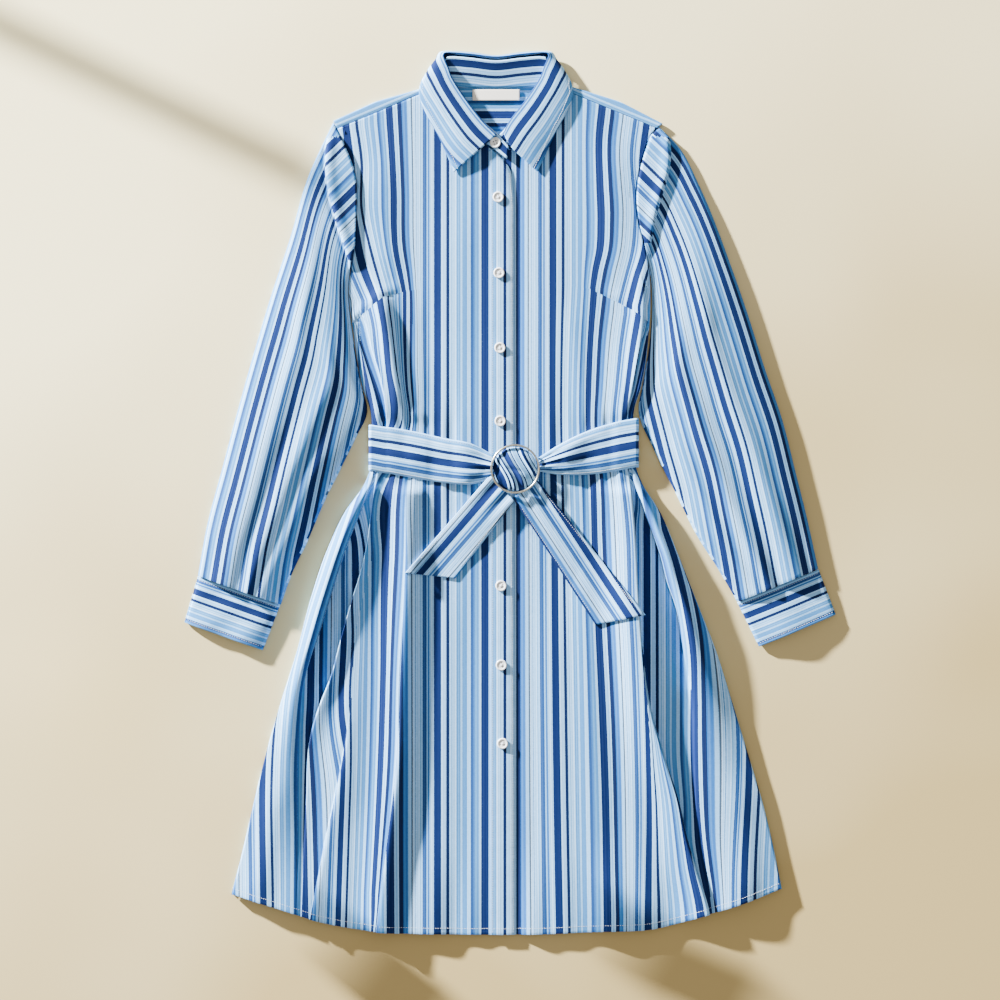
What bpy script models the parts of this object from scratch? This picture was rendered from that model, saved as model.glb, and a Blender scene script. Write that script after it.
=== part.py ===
"""A belted shirt dress, buttoned and laid on its back on a level surface.

X runs across the dress, Y from hem to neck and Z up. The origin is under the middle of its
box, on the surface. Each cut piece of cloth is one open grid, bent to its outline and its
height and given its wall by Solidify. The collar, belt and placket lie on the fronts.
"""

import math

import bmesh
import bpy
import numpy as np
from mathutils import Matrix, Vector
from mathutils.bvhtree import BVHTree

# Driving sizes, in metres.
WALL = 0.0012  # one thickness of cloth
SEAM = 0.0003  # gap between two pieces that are sewn or lie together
BODY = 0.0042  # height of the closed body: back, air and front
ROLL = BODY / 2  # radius of its folded sides
RIGHT_ARMPIT = 0.286  # heights of the armpits
LEFT_ARMPIT = 0.278
SIDE_SEAM = 0.0004  # half the slit between the folded edges of back and front
ARMHOLE_GAP = 0.0009  # between the facets of an armhole and of its sleeve
YOKE_LINE = 0.370  # seam between the yoke and the back
NECK_LINE = 0.4637  # seam between the yoke and the collar stand
CENTRE = -0.016  # middle of the collar
PLACKET_EDGE = -0.022  # stitched edge of the placket; its other edge is the front edge
PLACKET_WALL = 0.0010
CUFF_WALL = 0.0015
BELT_LIFT = WALL + SEAM  # how far the belt lifts the back that lies on it
BUTTON_RADIUS = 0.00625
RING_RADIUS = 0.0272  # to the middle of the wire
RING_WIRE = 0.0013
RING_CENTRE = (0.0058, 0.027)
RING_HEIGHT = 0.0119

# The body from shoulder to hem: height of the section, its left edge and its right edge.
# Down to the armpits the edges are the armholes, and from there the side folds.
SECTIONS = (
    (0.427, -0.2030, 0.1790),
    (0.412, -0.1960, 0.1630),
    (0.395, -0.1880, 0.1560),
    (0.368, -0.1780, 0.1485),
    (0.340, -0.1760, 0.1450),
    (0.310, -0.1770, 0.1480),
    (0.286, -0.1780, 0.1540),
    (0.262, -0.1820, 0.1590),
    (0.237, -0.1850, 0.1610),
    (0.178, -0.1790, 0.1590),
    (0.120, -0.1690, 0.1500),
    (0.092, -0.1600, 0.1420),
    (0.078, -0.1588, 0.1412),
    (0.051, -0.1594, 0.1430),
    (0.026, -0.1608, 0.1455),
    (0.010, -0.1670, 0.1520),
    (-0.020, -0.1880, 0.1710),
    (-0.066, -0.2100, 0.1910),
    (-0.119, -0.2280, 0.2120),
    (-0.183, -0.2450, 0.2370),
    (-0.240, -0.2630, 0.2550),
    (-0.302, -0.2810, 0.2740),
    (-0.359, -0.2950, 0.2910),
    (-0.419, -0.3090, 0.3050),
    (-0.465, -0.3210, 0.3140),
)

# The hem: place across and height.
HEM = (
    (-0.325, -0.459),
    (-0.267, -0.477),
    (-0.203, -0.496),
    (-0.156, -0.503),
    (-0.067, -0.507),
    (0.033, -0.507),
    (0.102, -0.504),
    (0.170, -0.500),
    (0.220, -0.486),
    (0.284, -0.465),
    (0.320, -0.451),
)

# The free edge of each front, from neck point to hem: height and place across.
RIGHT_FRONT_EDGE = (
    (0.462, -0.0920),
    (0.440, -0.0780),
    (0.420, -0.0580),
    (0.405, -0.0380),
    (0.396, -0.0240),
    (0.386, -0.0120),
    (0.376, -0.0030),
    (0.350, 0.0030),
    (0.300, 0.0046),
    (0.250, 0.0046),
    (-0.510, 0.0046),
)
LEFT_FRONT_EDGE = (
    (0.462, 0.0620),
    (0.440, 0.0500),
    (0.420, 0.0340),
    (0.405, 0.0170),
    (0.396, 0.0040),
    (0.388, -0.0080),
    (0.378, -0.0170),
    (0.350, -0.0200),
    (0.300, -0.0200),
    (-0.510, -0.0200),
)

# Shoulder seams on the fronts and the folds of the yoke beyond them: place across, seam, fold.
RIGHT_SHOULDER = ((-0.203, 0.4155, 0.4270), (-0.155, 0.4355, 0.4490), (-0.092, 0.4620, 0.4670))
LEFT_SHOULDER = ((0.062, 0.4620, 0.4690), (0.127, 0.4352, 0.4490), (0.179, 0.4137, 0.4220))

# Rows of the body's grids, as heights on the centre line.
LEVELS = (
    0.500, 0.478, 0.455, 0.430, 0.400, 0.372, 0.345, 0.318, 0.286, 0.237, 0.178, 0.124, 0.106,
    0.092, 0.051, 0.026, 0.010, -0.004, -0.055, -0.115, -0.183, -0.250, -0.320, -0.390, -0.450,
    -0.507,
)  # fmt: skip

TURN_COLUMNS = 3  # of the body's grids, round a side fold

# The deep folds of the fronts: top of the ridge, its foot, half its width there, and its rise.
FOLDS = (
    ("right outer puff", (-0.165, -0.004), (-0.285, -0.480), 0.030, 0.0050),
    ("right skirt ridge", (-0.150, -0.004), (-0.222, -0.480), 0.024, 0.0042),
    ("right middle ridge", (-0.136, -0.020), (-0.128, -0.505), 0.024, 0.0026),
    ("left outer puff", (0.152, -0.010), (0.270, -0.470), 0.028, 0.0050),
    ("left skirt ridge", (0.132, -0.010), (0.200, -0.490), 0.024, 0.0040),
    ("right bust", (-0.145, 0.330), (-0.140, 0.130), 0.030, 0.0024),
    ("left bust", (0.118, 0.330), (0.112, 0.130), 0.030, 0.0022),
)

# Long edges of each sleeve from shoulder and armpit to the cuff: outer, then inner.
RIGHT_SLEEVE = (
    (
        (-0.2050, 0.4250), (-0.2330, 0.3600), (-0.2520, 0.2930), (-0.2730, 0.2290),
        (-0.2920, 0.1660), (-0.3120, 0.0950), (-0.3310, 0.0240), (-0.3470, -0.0360),
        (-0.3580, -0.0955),
    ),
    (
        (-0.1800, 0.2840), (-0.1870, 0.2370), (-0.1812, 0.1780), (-0.1720, 0.1250),
        (-0.1650, 0.0920), (-0.1780, 0.0630), (-0.1930, 0.0320), (-0.2130, -0.0080),
        (-0.2330, -0.0550), (-0.2520, -0.0950), (-0.2640, -0.1285),
    ),
)  # fmt: skip
LEFT_SLEEVE = (
    (
        (0.1815, 0.4200), (0.2000, 0.3980), (0.2210, 0.3520), (0.2530, 0.2650), (0.2730, 0.2060),
        (0.2930, 0.1420), (0.3130, 0.0830), (0.3280, 0.0240), (0.3400, -0.0240),
        (0.3540, -0.0875),
    ),
    (
        (0.1585, 0.2740), (0.1632, 0.2370), (0.1613, 0.1780), (0.1530, 0.1250),
        (0.1478, 0.0960), (0.1660, 0.0480), (0.1900, 0.0000), (0.2140, -0.0480),
        (0.2410, -0.0910), (0.2610, -0.1255),
    ),
)  # fmt: skip

# Cuff corners: sleeve side outer and inner, then hand side outer and inner.
RIGHT_CUFF = ((-0.3585, -0.0962), (-0.2640, -0.1292), (-0.3740, -0.1490), (-0.2840, -0.1810))
LEFT_CUFF = ((0.3545, -0.0882), (0.2610, -0.1262), (0.3742, -0.1400), (0.2860, -0.1770))

# Sections of the collar's fall, from the front of its right leaf to the centre back. Each
# runs from the roll over the crown to its outer edge. The other half is its mirror image,
# but for its last section.
FALL = (
    ((-0.015, 0.41, 0.0092), (-0.033, 0.3945, 0.0094), (-0.048, 0.3815, 0.0084), (-0.064, 0.3675, 0.0066)),
    ((-0.032, 0.427, 0.0094), (-0.047, 0.411, 0.01), (-0.061, 0.397, 0.0088), (-0.0725, 0.387, 0.0066)),
    ((-0.052, 0.453, 0.0095), (-0.063, 0.438, 0.0102), (-0.074, 0.423, 0.009), (-0.083, 0.41, 0.0068)),
    ((-0.066, 0.475, 0.01), (-0.077, 0.46, 0.0106), (-0.087, 0.445, 0.0092), (-0.095, 0.432, 0.007)),
    ((-0.0705, 0.487, 0.0102), (-0.083, 0.476, 0.0104), (-0.095, 0.464, 0.009), (-0.104, 0.454, 0.007)),
    ((-0.0745, 0.496, 0.0102), (-0.086, 0.488, 0.0092), (-0.096, 0.479, 0.0076), (-0.1025, 0.47, 0.0062)),
    ((-0.076, 0.502, 0.01), (-0.084, 0.4985, 0.0066), (-0.091, 0.49, 0.0036), (-0.096, 0.479, 0.0016)),
    ((-0.07, 0.5045, 0.0098), (-0.077, 0.5065, 0.005), (-0.08, 0.495, 0.0004), (-0.085, 0.47, 0)),
    ((-0.045, 0.5025, 0.0094), (-0.045, 0.5055, 0.0048), (-0.046, 0.497, 0.0002), (-0.05, 0.467, 0)),
    ((CENTRE, 0.4995, 0.0092), (CENTRE, 0.502, 0.0046), (CENTRE, 0.494, 0.0002), (CENTRE, 0.467, 0)),
)  # fmt: skip

LEFT_LEAF_END = (
    (-0.008, 0.412, 0.0092),
    (0.002, 0.395, 0.0094),
    (0.0165, 0.3815, 0.0084),
    (0.0315, 0.368, 0.0066),
)

# Sections of the collar stand, from its right front end to the centre back: seam, then roll.
# The left front end passes under the right one.
STAND = (
    ((-0.0035, 0.3825, 0.0074), (-0.0015, 0.397, 0.0074)),
    ((-0.024, 0.3985, 0.0064), (-0.014, 0.411, 0.0072)),
    ((-0.049, 0.415, 0.0058), (-0.033, 0.4285, 0.0068)),
    ((-0.073, 0.439, 0.0058), (-0.053, 0.4545, 0.0073)),
    ((-0.086, 0.455, 0.0058), (-0.0665, 0.4755, 0.0079)),
    ((-0.086, 0.468, 0.004), (-0.0735, 0.4955, 0.008)),
    ((-0.072, 0.466, 0.0018), (-0.068, 0.5, 0.0077)),
    ((-0.045, 0.4655, 0.0016), (-0.045, 0.4985, 0.0074)),
    ((CENTRE, 0.4652, 0.0016), (CENTRE, 0.4955, 0.0072)),
)
LEFT_STAND_ENDS = (
    ((0.001, 0.402, 0.005), (-0.0075, 0.4155, 0.0052)),
    ((-0.016, 0.3915, 0.0042), (-0.0195, 0.4045, 0.0042)),
)

# The belt from the ring round one side: place along it, its upper and its lower edge.
BELT_RIGHT = (
    (-0.0190, 0.0430, 0.0160),
    (-0.0430, 0.0555, 0.0095),
    (-0.0740, 0.0620, 0.0110),
    (-0.1100, 0.0700, 0.0165),
    (-0.1400, 0.0750, 0.0220),
)
BELT_LEFT = (
    (0.0330, 0.0400, 0.0240),
    (0.0550, 0.0540, 0.0205),
    (0.0760, 0.0650, 0.0200),
    (0.1000, 0.0745, 0.0215),
    (0.1260, 0.0820, 0.0255),
)
BELT_SIDES = ((-0.1622, 0.0775, 0.0250), (0.1478, 0.0850, 0.0290))

# The belt's free ends: corners at the ring, then at the tip.
RIGHT_TAIL = ((-0.0230, 0.0200), (0.0050, -0.0100), (-0.1200, -0.0920), (-0.0630, -0.0985))
LEFT_TAIL = ((0.0010, -0.0240), (0.0315, 0.0140), (0.0980, -0.1520), (0.1550, -0.1400))

# Middles of the front buttons, and of the one on the collar stand.
BUTTONS = (
    (-0.0136, 0.339),
    (-0.0127, 0.252),
    (-0.0116, 0.166),
    (-0.0113, 0.082),
    (-0.0104, -0.107),
    (-0.0100, -0.198),
    (-0.0086, -0.288),
)
NECK_BUTTON = (-0.0150, 0.4000)

TAIL_TOP = 0.0086  # height of the belt's free ends under the ring

LABEL = ((-0.043, 0.4505), (0.011, 0.4630))  # two corners
LABEL_HEIGHT = 0.0015
LABEL_WALL = 0.0010

WOVEN = (0.42, 0.55, 0.72, 1.0)


def spline(keys, values):
    """A smooth curve through values at rising keys, held level past both ends."""
    keys = np.array(keys, float)
    values = np.array(values, float)
    slopes = np.gradient(values, keys, axis=0)

    def at(key):
        key = min(max(key, keys[0]), keys[-1])
        i = int(np.clip(np.searchsorted(keys, key, "right") - 1, 0, len(keys) - 2))
        span = keys[i + 1] - keys[i]
        u = (key - keys[i]) / span
        start = (1 + 2 * u) * (1 - u) ** 2 * values[i] + u * (1 - u) ** 2 * span * slopes[i]
        end = u * u * (3 - 2 * u) * values[i + 1] + u * u * (u - 1) * span * slopes[i + 1]
        return start + end

    return at


def column(table, key, value):
    """One column of a table as a smooth curve over another."""
    rows = sorted(table, key=lambda row: row[key])
    return spline([row[key] for row in rows], [row[value] for row in rows])


def path(points):
    """A smooth curve through points, as a function of the share of its length."""
    points = np.array(points, float)
    lengths = np.linalg.norm(np.diff(points, axis=0), axis=1)
    return spline(np.concatenate([[0], np.cumsum(lengths)]) / lengths.sum(), points)


def ramp(low, high, value):
    """0 below low and 1 above high, smooth between."""
    u = min(max((value - low) / (high - low), 0), 1)
    return u * u * (3 - 2 * u)


def shares(count):
    return [i / count for i in range(count + 1)]


left_edge = column(SECTIONS, 0, 1)
right_edge = column(SECTIONS, 0, 2)
hem_line = column(HEM, 0, 1)
right_free_edge = column(RIGHT_FRONT_EDGE, 0, 1)
left_free_edge = column(LEFT_FRONT_EDGE, 0, 1)


def belt_lift(y):
    """Rise of the body where the belt passes under it."""
    return BELT_LIFT * ramp(-0.004, 0.010, y) * (1 - ramp(0.092, 0.106, y))


def fold_rise(x, y):
    """Height that the folds of the fronts add. They die out at the placket."""
    rise = 0
    for _, top, foot, width, height in FOLDS:
        down = (top[1] - y) / (top[1] - foot[1])
        if not 0 < down < 1.2:
            continue
        middle = top[0] + (foot[0] - top[0]) * down
        bump = math.exp(-(((x - middle) / width) ** 2))
        rise = max(rise, height * bump * math.sqrt(min(down * 2, 1)))
    return rise * ramp(0.035, 0.075, abs(x + 0.009))


def front_top(x, y):
    return BODY + belt_lift(y) + fold_rise(x, y)


def side_turn(y, armpit):
    """How far the side of the body is folded: 0 at the armhole, 1 below the armpit."""
    return 1 - ramp(armpit - 0.012, armpit + 0.014, y)


def row_height(level, x, shoulder):
    """Height of a row at a place across: level at the belt, like the seam and the hem at the ends."""
    toward_seam = max(level - 0.280, 0) / (LEVELS[0] - 0.280)
    toward_hem = max(-0.300 - level, 0) / (-0.300 - LEVELS[-1])
    rise = toward_seam * (shoulder(x) - LEVELS[0]) + toward_hem * (hem_line(x) - LEVELS[-1])
    return level + rise


def body_point(across, level, shoulder):
    """Where a column, given as its place across at each height, meets the row of a level."""
    y = level
    for _ in range(30):
        y = row_height(level, across(y), shoulder)
    return across(y), y


def wall(name, columns, rows, place, within, thickness=WALL, keep=None, closed=False):
    """One piece of cloth: a grid put in place point by point, with its wall on the inner side.

    within is a point on the inner side, keep drops unwanted points, and closed joins the
    first column to the last.
    """
    mesh = bmesh.new()
    bmesh.ops.create_grid(mesh, x_segments=len(columns) - 1, y_segments=len(rows) - 1, size=0.5)
    unwanted = []
    for vertex in mesh.verts:
        i = round((vertex.co.x + 0.5) * (len(columns) - 1))
        j = round((vertex.co.y + 0.5) * (len(rows) - 1))
        vertex.co = place(columns[i], rows[j])
        if keep and not keep(i, j):
            unwanted.append(vertex)
    bmesh.ops.delete(mesh, geom=unwanted, context="VERTS")
    if closed:
        bmesh.ops.remove_doubles(mesh, verts=mesh.verts, dist=1e-6)
    mesh.normal_update()
    facing = sum(
        face.calc_area() * face.normal.dot(face.calc_center_median() - Vector(within))
        for face in mesh.faces
    )
    if facing < 0:
        bmesh.ops.reverse_faces(mesh, faces=mesh.faces)
    piece = add_object(name, mesh, WOVEN, roughness=0.85)
    thicken = piece.modifiers.new("wall", "SOLIDIFY")
    thicken.thickness = thickness
    thicken.offset = -1
    thicken.use_even_offset = True
    return piece


def add_object(name, mesh, color, roughness, metallic=0.0):
    """Puts a mesh into the dress under a name, with a material of its own."""
    data = bpy.data.meshes.new(name)
    mesh.to_mesh(data)
    mesh.free()
    piece = bpy.data.objects.new(name, data)
    dress.objects.link(piece)
    material = bpy.data.materials.new(name)
    material.use_nodes = True
    shader = material.node_tree.nodes["Principled BSDF"]
    shader.inputs["Base Color"].default_value = color
    shader.inputs["Roughness"].default_value = roughness
    shader.inputs["Metallic"].default_value = metallic
    data.materials.append(material)
    return piece


def line(table, value):
    """A column of a shoulder table as straight lines, which run on past its ends."""
    xs = [row[0] for row in table]
    ys = [row[value] for row in table]
    slope = (ys[-1] - ys[0]) / (xs[-1] - xs[0])

    def at(x):
        if x < xs[0]:
            return ys[0] + slope * (x - xs[0])
        if x > xs[-1]:
            return ys[-1] + slope * (x - xs[-1])
        return float(np.interp(x, xs, ys))

    return at


def fold_edge(step, folded, toward):
    """Step out and share of height on a side fold: two steps round it and one to its seam."""
    angle = math.radians((0, 40, 72, 72)[step]) * folded
    out = folded * math.sin(angle) + (1 - folded) * step / TURN_COLUMNS
    height = math.cos(angle)
    if step == TURN_COLUMNS:
        height -= folded * (height - SIDE_SEAM / ROLL)
    return toward * ROLL * out, height


def build_front(name, free_edge, side_edge, shoulder, armpit, under):
    """A front from its free edge to the side fold. under sinks it below the other front."""
    seam = line(shoulder, 1)
    flat_columns = 10
    lap_columns = (0.0, 0.0275, 0.0385) if under else (0.0, 0.0266)
    toward = 1 if side_edge(0) > 0 else -1

    def across(column_number, y):
        last_lap = len(lap_columns) - 1
        if column_number <= last_lap:
            return free_edge(y) + toward * lap_columns[column_number]
        start = free_edge(y) + toward * lap_columns[-1]
        share = (min(column_number, flat_columns) - last_lap) / (flat_columns - last_lap)
        return start + share * (side_edge(y) - toward * ROLL - start)

    def place(column_number, level):
        x, y = body_point(lambda height: across(column_number, height), level, seam)
        top = front_top(x, y)
        if under and column_number < 2:
            top -= WALL + SEAM
        if column_number > flat_columns:
            step = column_number - flat_columns
            out, height = fold_edge(step, side_turn(y, armpit), toward)
            x += out
            y = row_height(level, x, seam)
            middle = ROLL + belt_lift(y)
            top = middle + (top - middle) * height
        return x, y, top

    columns = list(range(flat_columns + TURN_COLUMNS + 1))
    return wall(name, columns, LEVELS, place, (0, 0, -1))


def build_back():
    """The back below the yoke, flat on the surface but for the belt under it."""
    flat_columns = 8
    last = flat_columns + 2 * TURN_COLUMNS
    rows = [YOKE_LINE - SEAM / 2] + [level for level in LEVELS if level < YOKE_LINE - 0.02]

    def place(column_number, level):
        share = min(max((column_number - TURN_COLUMNS) / flat_columns, 0), 1)

        def across(y):
            return left_edge(y) + ROLL + share * (right_edge(y) - left_edge(y) - 2 * ROLL)

        x, y = body_point(across, level, lambda x: LEVELS[0])
        low = belt_lift(y)
        step = abs(column_number - last // 2) - flat_columns // 2
        if step > 0:
            toward = 1 if share == 1 else -1
            armpit = LEFT_ARMPIT if share == 1 else RIGHT_ARMPIT
            out, height = fold_edge(step, side_turn(y, armpit), toward)
            x += out
            low += ROLL * (1 - height)
        return x, y, low

    return wall("back", list(range(last + 1)), rows, place, (0, 0, 1))


def build_yoke():
    """The yoke: flat under the shoulders, with a wing folded over each onto the fronts."""
    wrapped = ((0, 1), (0.5, 1), (1, 1), (1, 0.7), (1, 0), (1, -0.7), (1, -1))
    down_shares = (0.25, 0.5, 0.75, 1)
    wing_columns = 5
    neck_columns = 5
    last = 2 * wing_columns + neck_columns
    right_neck, left_neck = RIGHT_SHOULDER[-1][0], LEFT_SHOULDER[0][0]

    def across(i, y):
        if i <= wing_columns:
            return left_edge(y) + i / wing_columns * (right_neck - left_edge(y))
        if i >= last - wing_columns:
            return right_edge(y) + (last - i) / wing_columns * (left_neck - right_edge(y))
        return right_neck + (i - wing_columns) / neck_columns * (left_neck - right_neck)

    def in_wing(i):
        return i <= wing_columns or i >= last - wing_columns

    def place(i, row):
        shoulder = RIGHT_SHOULDER if i < last / 2 else LEFT_SHOULDER
        seam_line, fold_line = line(shoulder, 1), line(shoulder, 2)
        up = wrapped[row][1] if row < len(wrapped) else -1
        x = across(i, 0.425)
        for _ in range(12):
            seam, fold = seam_line(x) + SEAM, fold_line(x)
            turned = fold - ROLL if in_wing(i) else NECK_LINE
            if row >= len(wrapped):
                share = down_shares[row - len(wrapped)]
                y = turned + share * (YOKE_LINE + SEAM / 2 - turned)
            elif row > 2 and in_wing(i):
                y = turned + ROLL * math.sqrt(1 - up * up)
            else:
                y = seam + (turned - seam) * wrapped[row][0]
            x = across(i, y)
        return x, y, ROLL * (1 + up)

    def keep(i, row):
        return in_wing(i) or row >= len(wrapped) - 1

    rows = list(range(len(wrapped) + len(down_shares)))
    return wall("yoke", list(range(last + 1)), rows, place, (0, 0.41, ROLL), keep=keep)


def tube_ring(flat_columns):
    """Points round a flat tube: share across, share of the fold's rise, and upper or lower side."""
    upper = [(0, 0.0), (0, 0.5)] + [(u, 1.0) for u in shares(flat_columns)] + [(1, 0.5), (1, 0.0)]
    lower = upper[-2::-1]
    return [(*point, 1) for point in upper] + [(*point, -1) for point in lower]


def sleeve_rise(x, y, toward):
    """Height of the sleeve head: a soft ridge along the armhole that drops at its outer edge."""
    armhole = abs(right_edge(y) if toward > 0 else left_edge(y))
    out = abs(x) - armhole
    head = ramp(0.0, 0.016, out) * (1 - ramp(0.026, 0.044, out))
    return 0.0052 * head * ramp(0.255, 0.310, y) * (1 - ramp(0.395, 0.425, y))


def build_sleeve(name, edges, toward):
    """A sleeve as one tube, from the armhole to the cuff, its long edges folded."""
    outer, inner = path(edges[0]), path(edges[1])
    ring = tube_ring(5)
    stations = [(k / 12) ** 1.35 for k in range(13)]
    side_edge = right_edge if toward > 0 else left_edge
    start, end = outer(0), inner(0)

    def plan(u, v):
        """Place between the long edges, bowed along the armhole near the body."""
        point = (1 - u) * outer(v) + u * inner(v)
        chord = (1 - u) * start + u * end
        seam = side_edge(chord[1]) + toward * ARMHOLE_GAP
        return point[0] + (seam - chord[0]) * (1 - v) ** 7, point[1]

    def place(i, v):
        u, turn, side = ring[i]
        x, y = plan(u, v)
        if u in (0, 1):
            inward = np.array(plan(0.5, v)) - np.array((x, y))
            inward *= ROLL * math.sin(turn * math.pi / 2) / np.linalg.norm(inward)
            x, y = x + inward[0], y + inward[1]
        half = ROLL * math.sin(turn * math.pi / 2)
        if side > 0 and 0 < u < 1:
            half += sleeve_rise(x, y, toward)
        return x, y, ROLL + side * half

    within = (*plan(0.5, 0.5), ROLL)
    return wall(name, list(range(len(ring))), stations, place, within, closed=True)


def build_cuff(name, corners):
    """A cuff as a flat tube of thicker, doubled cloth."""
    height = BODY + 2 * SEAM
    sleeve_outer, sleeve_inner, hand_outer, hand_inner = (np.array(c) for c in corners)
    ring = tube_ring(4)

    def place(i, v):
        u, turn, side = ring[i]
        outer = (1 - v) * sleeve_outer + v * hand_outer
        inner = (1 - v) * sleeve_inner + v * hand_inner
        along = (inner - outer) / np.linalg.norm(inner - outer)
        inset = height / 2 * math.sin(turn * math.pi / 2)
        first, last = outer + along * inset, inner - along * inset
        x, y = first + u * (last - first)
        return x, y, height / 2 * (1 + side * math.sin(turn * math.pi / 2))

    within = (*(sleeve_outer + hand_inner) / 2, height / 2)
    return wall(name, list(range(len(ring))), shares(2), place, within, CUFF_WALL, closed=True)


def build_placket():
    """The band folded over the edge of the right front, from the stand to the hem."""
    seam = line(RIGHT_SHOULDER, 1)

    def place(share, level):
        def across(y):
            stitched_edge = min(PLACKET_EDGE, right_free_edge(y) - 0.004)
            return right_free_edge(y) + share * (stitched_edge - right_free_edge(y))

        x, y = body_point(across, level, seam)
        return x, y, BODY + belt_lift(y) + SEAM + PLACKET_WALL

    rows = [level for level in LEVELS if level < 0.42]
    return wall("placket", shares(2), rows, place, (0, 0, -1), PLACKET_WALL)


def mirrored(section):
    return tuple((2 * CENTRE - x, y, z) for x, y, z in section)


def whole(half, other_ends):
    """All sections of the collar or its stand: one half, its mirror image and the other ends."""
    other = [mirrored(section) for section in half[-2::-1]]
    return list(half) + other[: -len(other_ends)] + list(other_ends)


def build_collar(name, sections, columns, rows, within):
    """Cloth through sections, smooth both along and across the collar."""
    across = [path(section) for section in sections]
    marks = [i / (len(sections) - 1) for i in range(len(sections))]

    def place(along, down):
        x, y, z = spline(marks, [curve(down) for curve in across])(along)
        return x, y, max(z, 0)

    return wall(name, shares(columns), shares(rows), place, within)


def build_belt(front_height):
    """The belt's waist stretch: off the ring, round one side, under the back and up again."""
    rows = shares(3)
    upper_left, upper_right = column(BELT_RIGHT, 0, 1), column(BELT_LEFT, 0, 1)
    lower_left, lower_right = column(BELT_RIGHT, 0, 2), column(BELT_LEFT, 0, 2)
    turns = (0.0, 0.25, 0.5, 0.75, 1.0)
    left_xs = [-0.0190, -0.0310, -0.0430, -0.0585, -0.0740, -0.0920, -0.1100, -0.1280, -0.1430]
    right_xs = [0.0330, 0.0440, 0.0550, 0.0660, 0.0760, 0.0880, 0.1000, 0.1130, 0.1260]
    stations = [("front", x) for x in left_xs]
    stations += [("turn", (-1, turn)) for turn in turns]
    stations += [("under", share) for share in shares(6)[1:-1]]
    stations += [("turn", (1, 1 - turn)) for turn in turns]
    stations += [("front", x) for x in reversed(right_xs)]

    def place(station, across):
        kind, where = station
        if kind == "front":
            upper, lower = (upper_left, lower_left) if where < 0 else (upper_right, lower_right)
            y = upper(where) + across * (lower(where) - upper(where))
            return where, y, front_height(where, y)
        (left, *left_rows), (right, *right_rows) = BELT_SIDES
        left_y = left_rows[0] + across * (left_rows[1] - left_rows[0])
        right_y = right_rows[0] + across * (right_rows[1] - right_rows[0])
        if kind == "under":
            x = left + (right - left) * (0.02 + 0.96 * where)
            return x, left_y + (right_y - left_y) * where, 0
        toward, turn = where
        side, y = (right, right_y) if toward > 0 else (left, left_y)
        top = front_height(side - toward * 0.012, y)
        lean = toward * 0.0010 * (across - 0.5)
        angle = math.pi * turn
        x = side + lean - toward * 0.0040 * (1 - math.sin(angle))
        return x, y, top / 2 * (1 + math.cos(angle))

    within = (-0.008, 0.05, 0.004)
    return wall("belt_waist", stations, rows, place, within)


def build_tail(name, corners, resting_height, lift):
    """A free end of the belt, lying on the fronts below the ring."""
    ring_left, ring_right, tip_left, tip_right = (np.array(c) for c in corners)

    def place(across, along):
        near = (1 - across) * ring_left + across * ring_right
        far = (1 - across) * tip_left + across * tip_right
        x, y = (1 - along) * near + along * far
        low = max(resting_height(x, y), TAIL_TOP - 0.004 * along)
        return x, y, low + lift * (1 - ramp(0, 0.4, along))

    return wall(name, shares(4), shares(10), place, (0, 0, -1))


def build_knot():
    """The gathered cloth that fills the ring: its hidden layers are one rounded solid."""
    mesh = bmesh.new()
    bmesh.ops.create_uvsphere(mesh, u_segments=20, v_segments=8, radius=1)
    low = RING_HEIGHT - RING_WIRE - 0.0008
    for vertex in mesh.verts:
        out = vertex.co.copy()
        crease = 0.0012 * math.exp(-(((out.x + 0.4 * out.y) / 0.16) ** 2))
        rise = 0.0055 * out.z - (crease if out.z > 0 else 0) if out.z > 0 else 0.0012 * out.z
        vertex.co = (
            RING_CENTRE[0] + 0.0249 * out.x,
            RING_CENTRE[1] + 0.0249 * out.y,
            low + 0.0012 + rise,
        )
    return add_object("belt_knot", mesh, WOVEN, roughness=0.85)


def build_ring():
    """The round metal buckle ring, bent from wire."""
    bpy.ops.mesh.primitive_torus_add(
        major_radius=RING_RADIUS,
        minor_radius=RING_WIRE,
        major_segments=40,
        minor_segments=8,
        location=(*RING_CENTRE, RING_HEIGHT),
    )
    torus = bpy.context.object
    mesh = bmesh.new()
    mesh.from_mesh(torus.data)
    mesh.transform(torus.matrix_world)
    bpy.data.objects.remove(torus)
    return add_object("ring", mesh, (0.55, 0.53, 0.48, 1.0), roughness=0.3, metallic=1.0)


def build_button(name, middle, height):
    """A round shirt button with a raised rim, turned from its profile."""
    profile = (
        (0.0, 0.0),
        (BUTTON_RADIUS - 0.0006, 0.0),
        (BUTTON_RADIUS, 0.0006),
        (BUTTON_RADIUS, 0.0013),
        (BUTTON_RADIUS - 0.0008, 0.0020),
        (BUTTON_RADIUS - 0.0020, 0.0016),
        (0.0, 0.0014),
    )
    mesh = bmesh.new()
    verts = [mesh.verts.new((r, 0, z)) for r, z in profile]
    edges = [mesh.edges.new(pair) for pair in zip(verts, verts[1:])]
    bmesh.ops.spin(
        mesh, geom=verts + edges, axis=(0, 0, 1), cent=(0, 0, 0), steps=18, angle=2 * math.pi
    )
    bmesh.ops.remove_doubles(mesh, verts=mesh.verts, dist=1e-6)
    bmesh.ops.recalc_face_normals(mesh, faces=mesh.faces)
    bmesh.ops.translate(mesh, verts=mesh.verts, vec=(*middle, height))
    return add_object(name, mesh, (0.90, 0.90, 0.88, 1.0), roughness=0.25)


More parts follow.
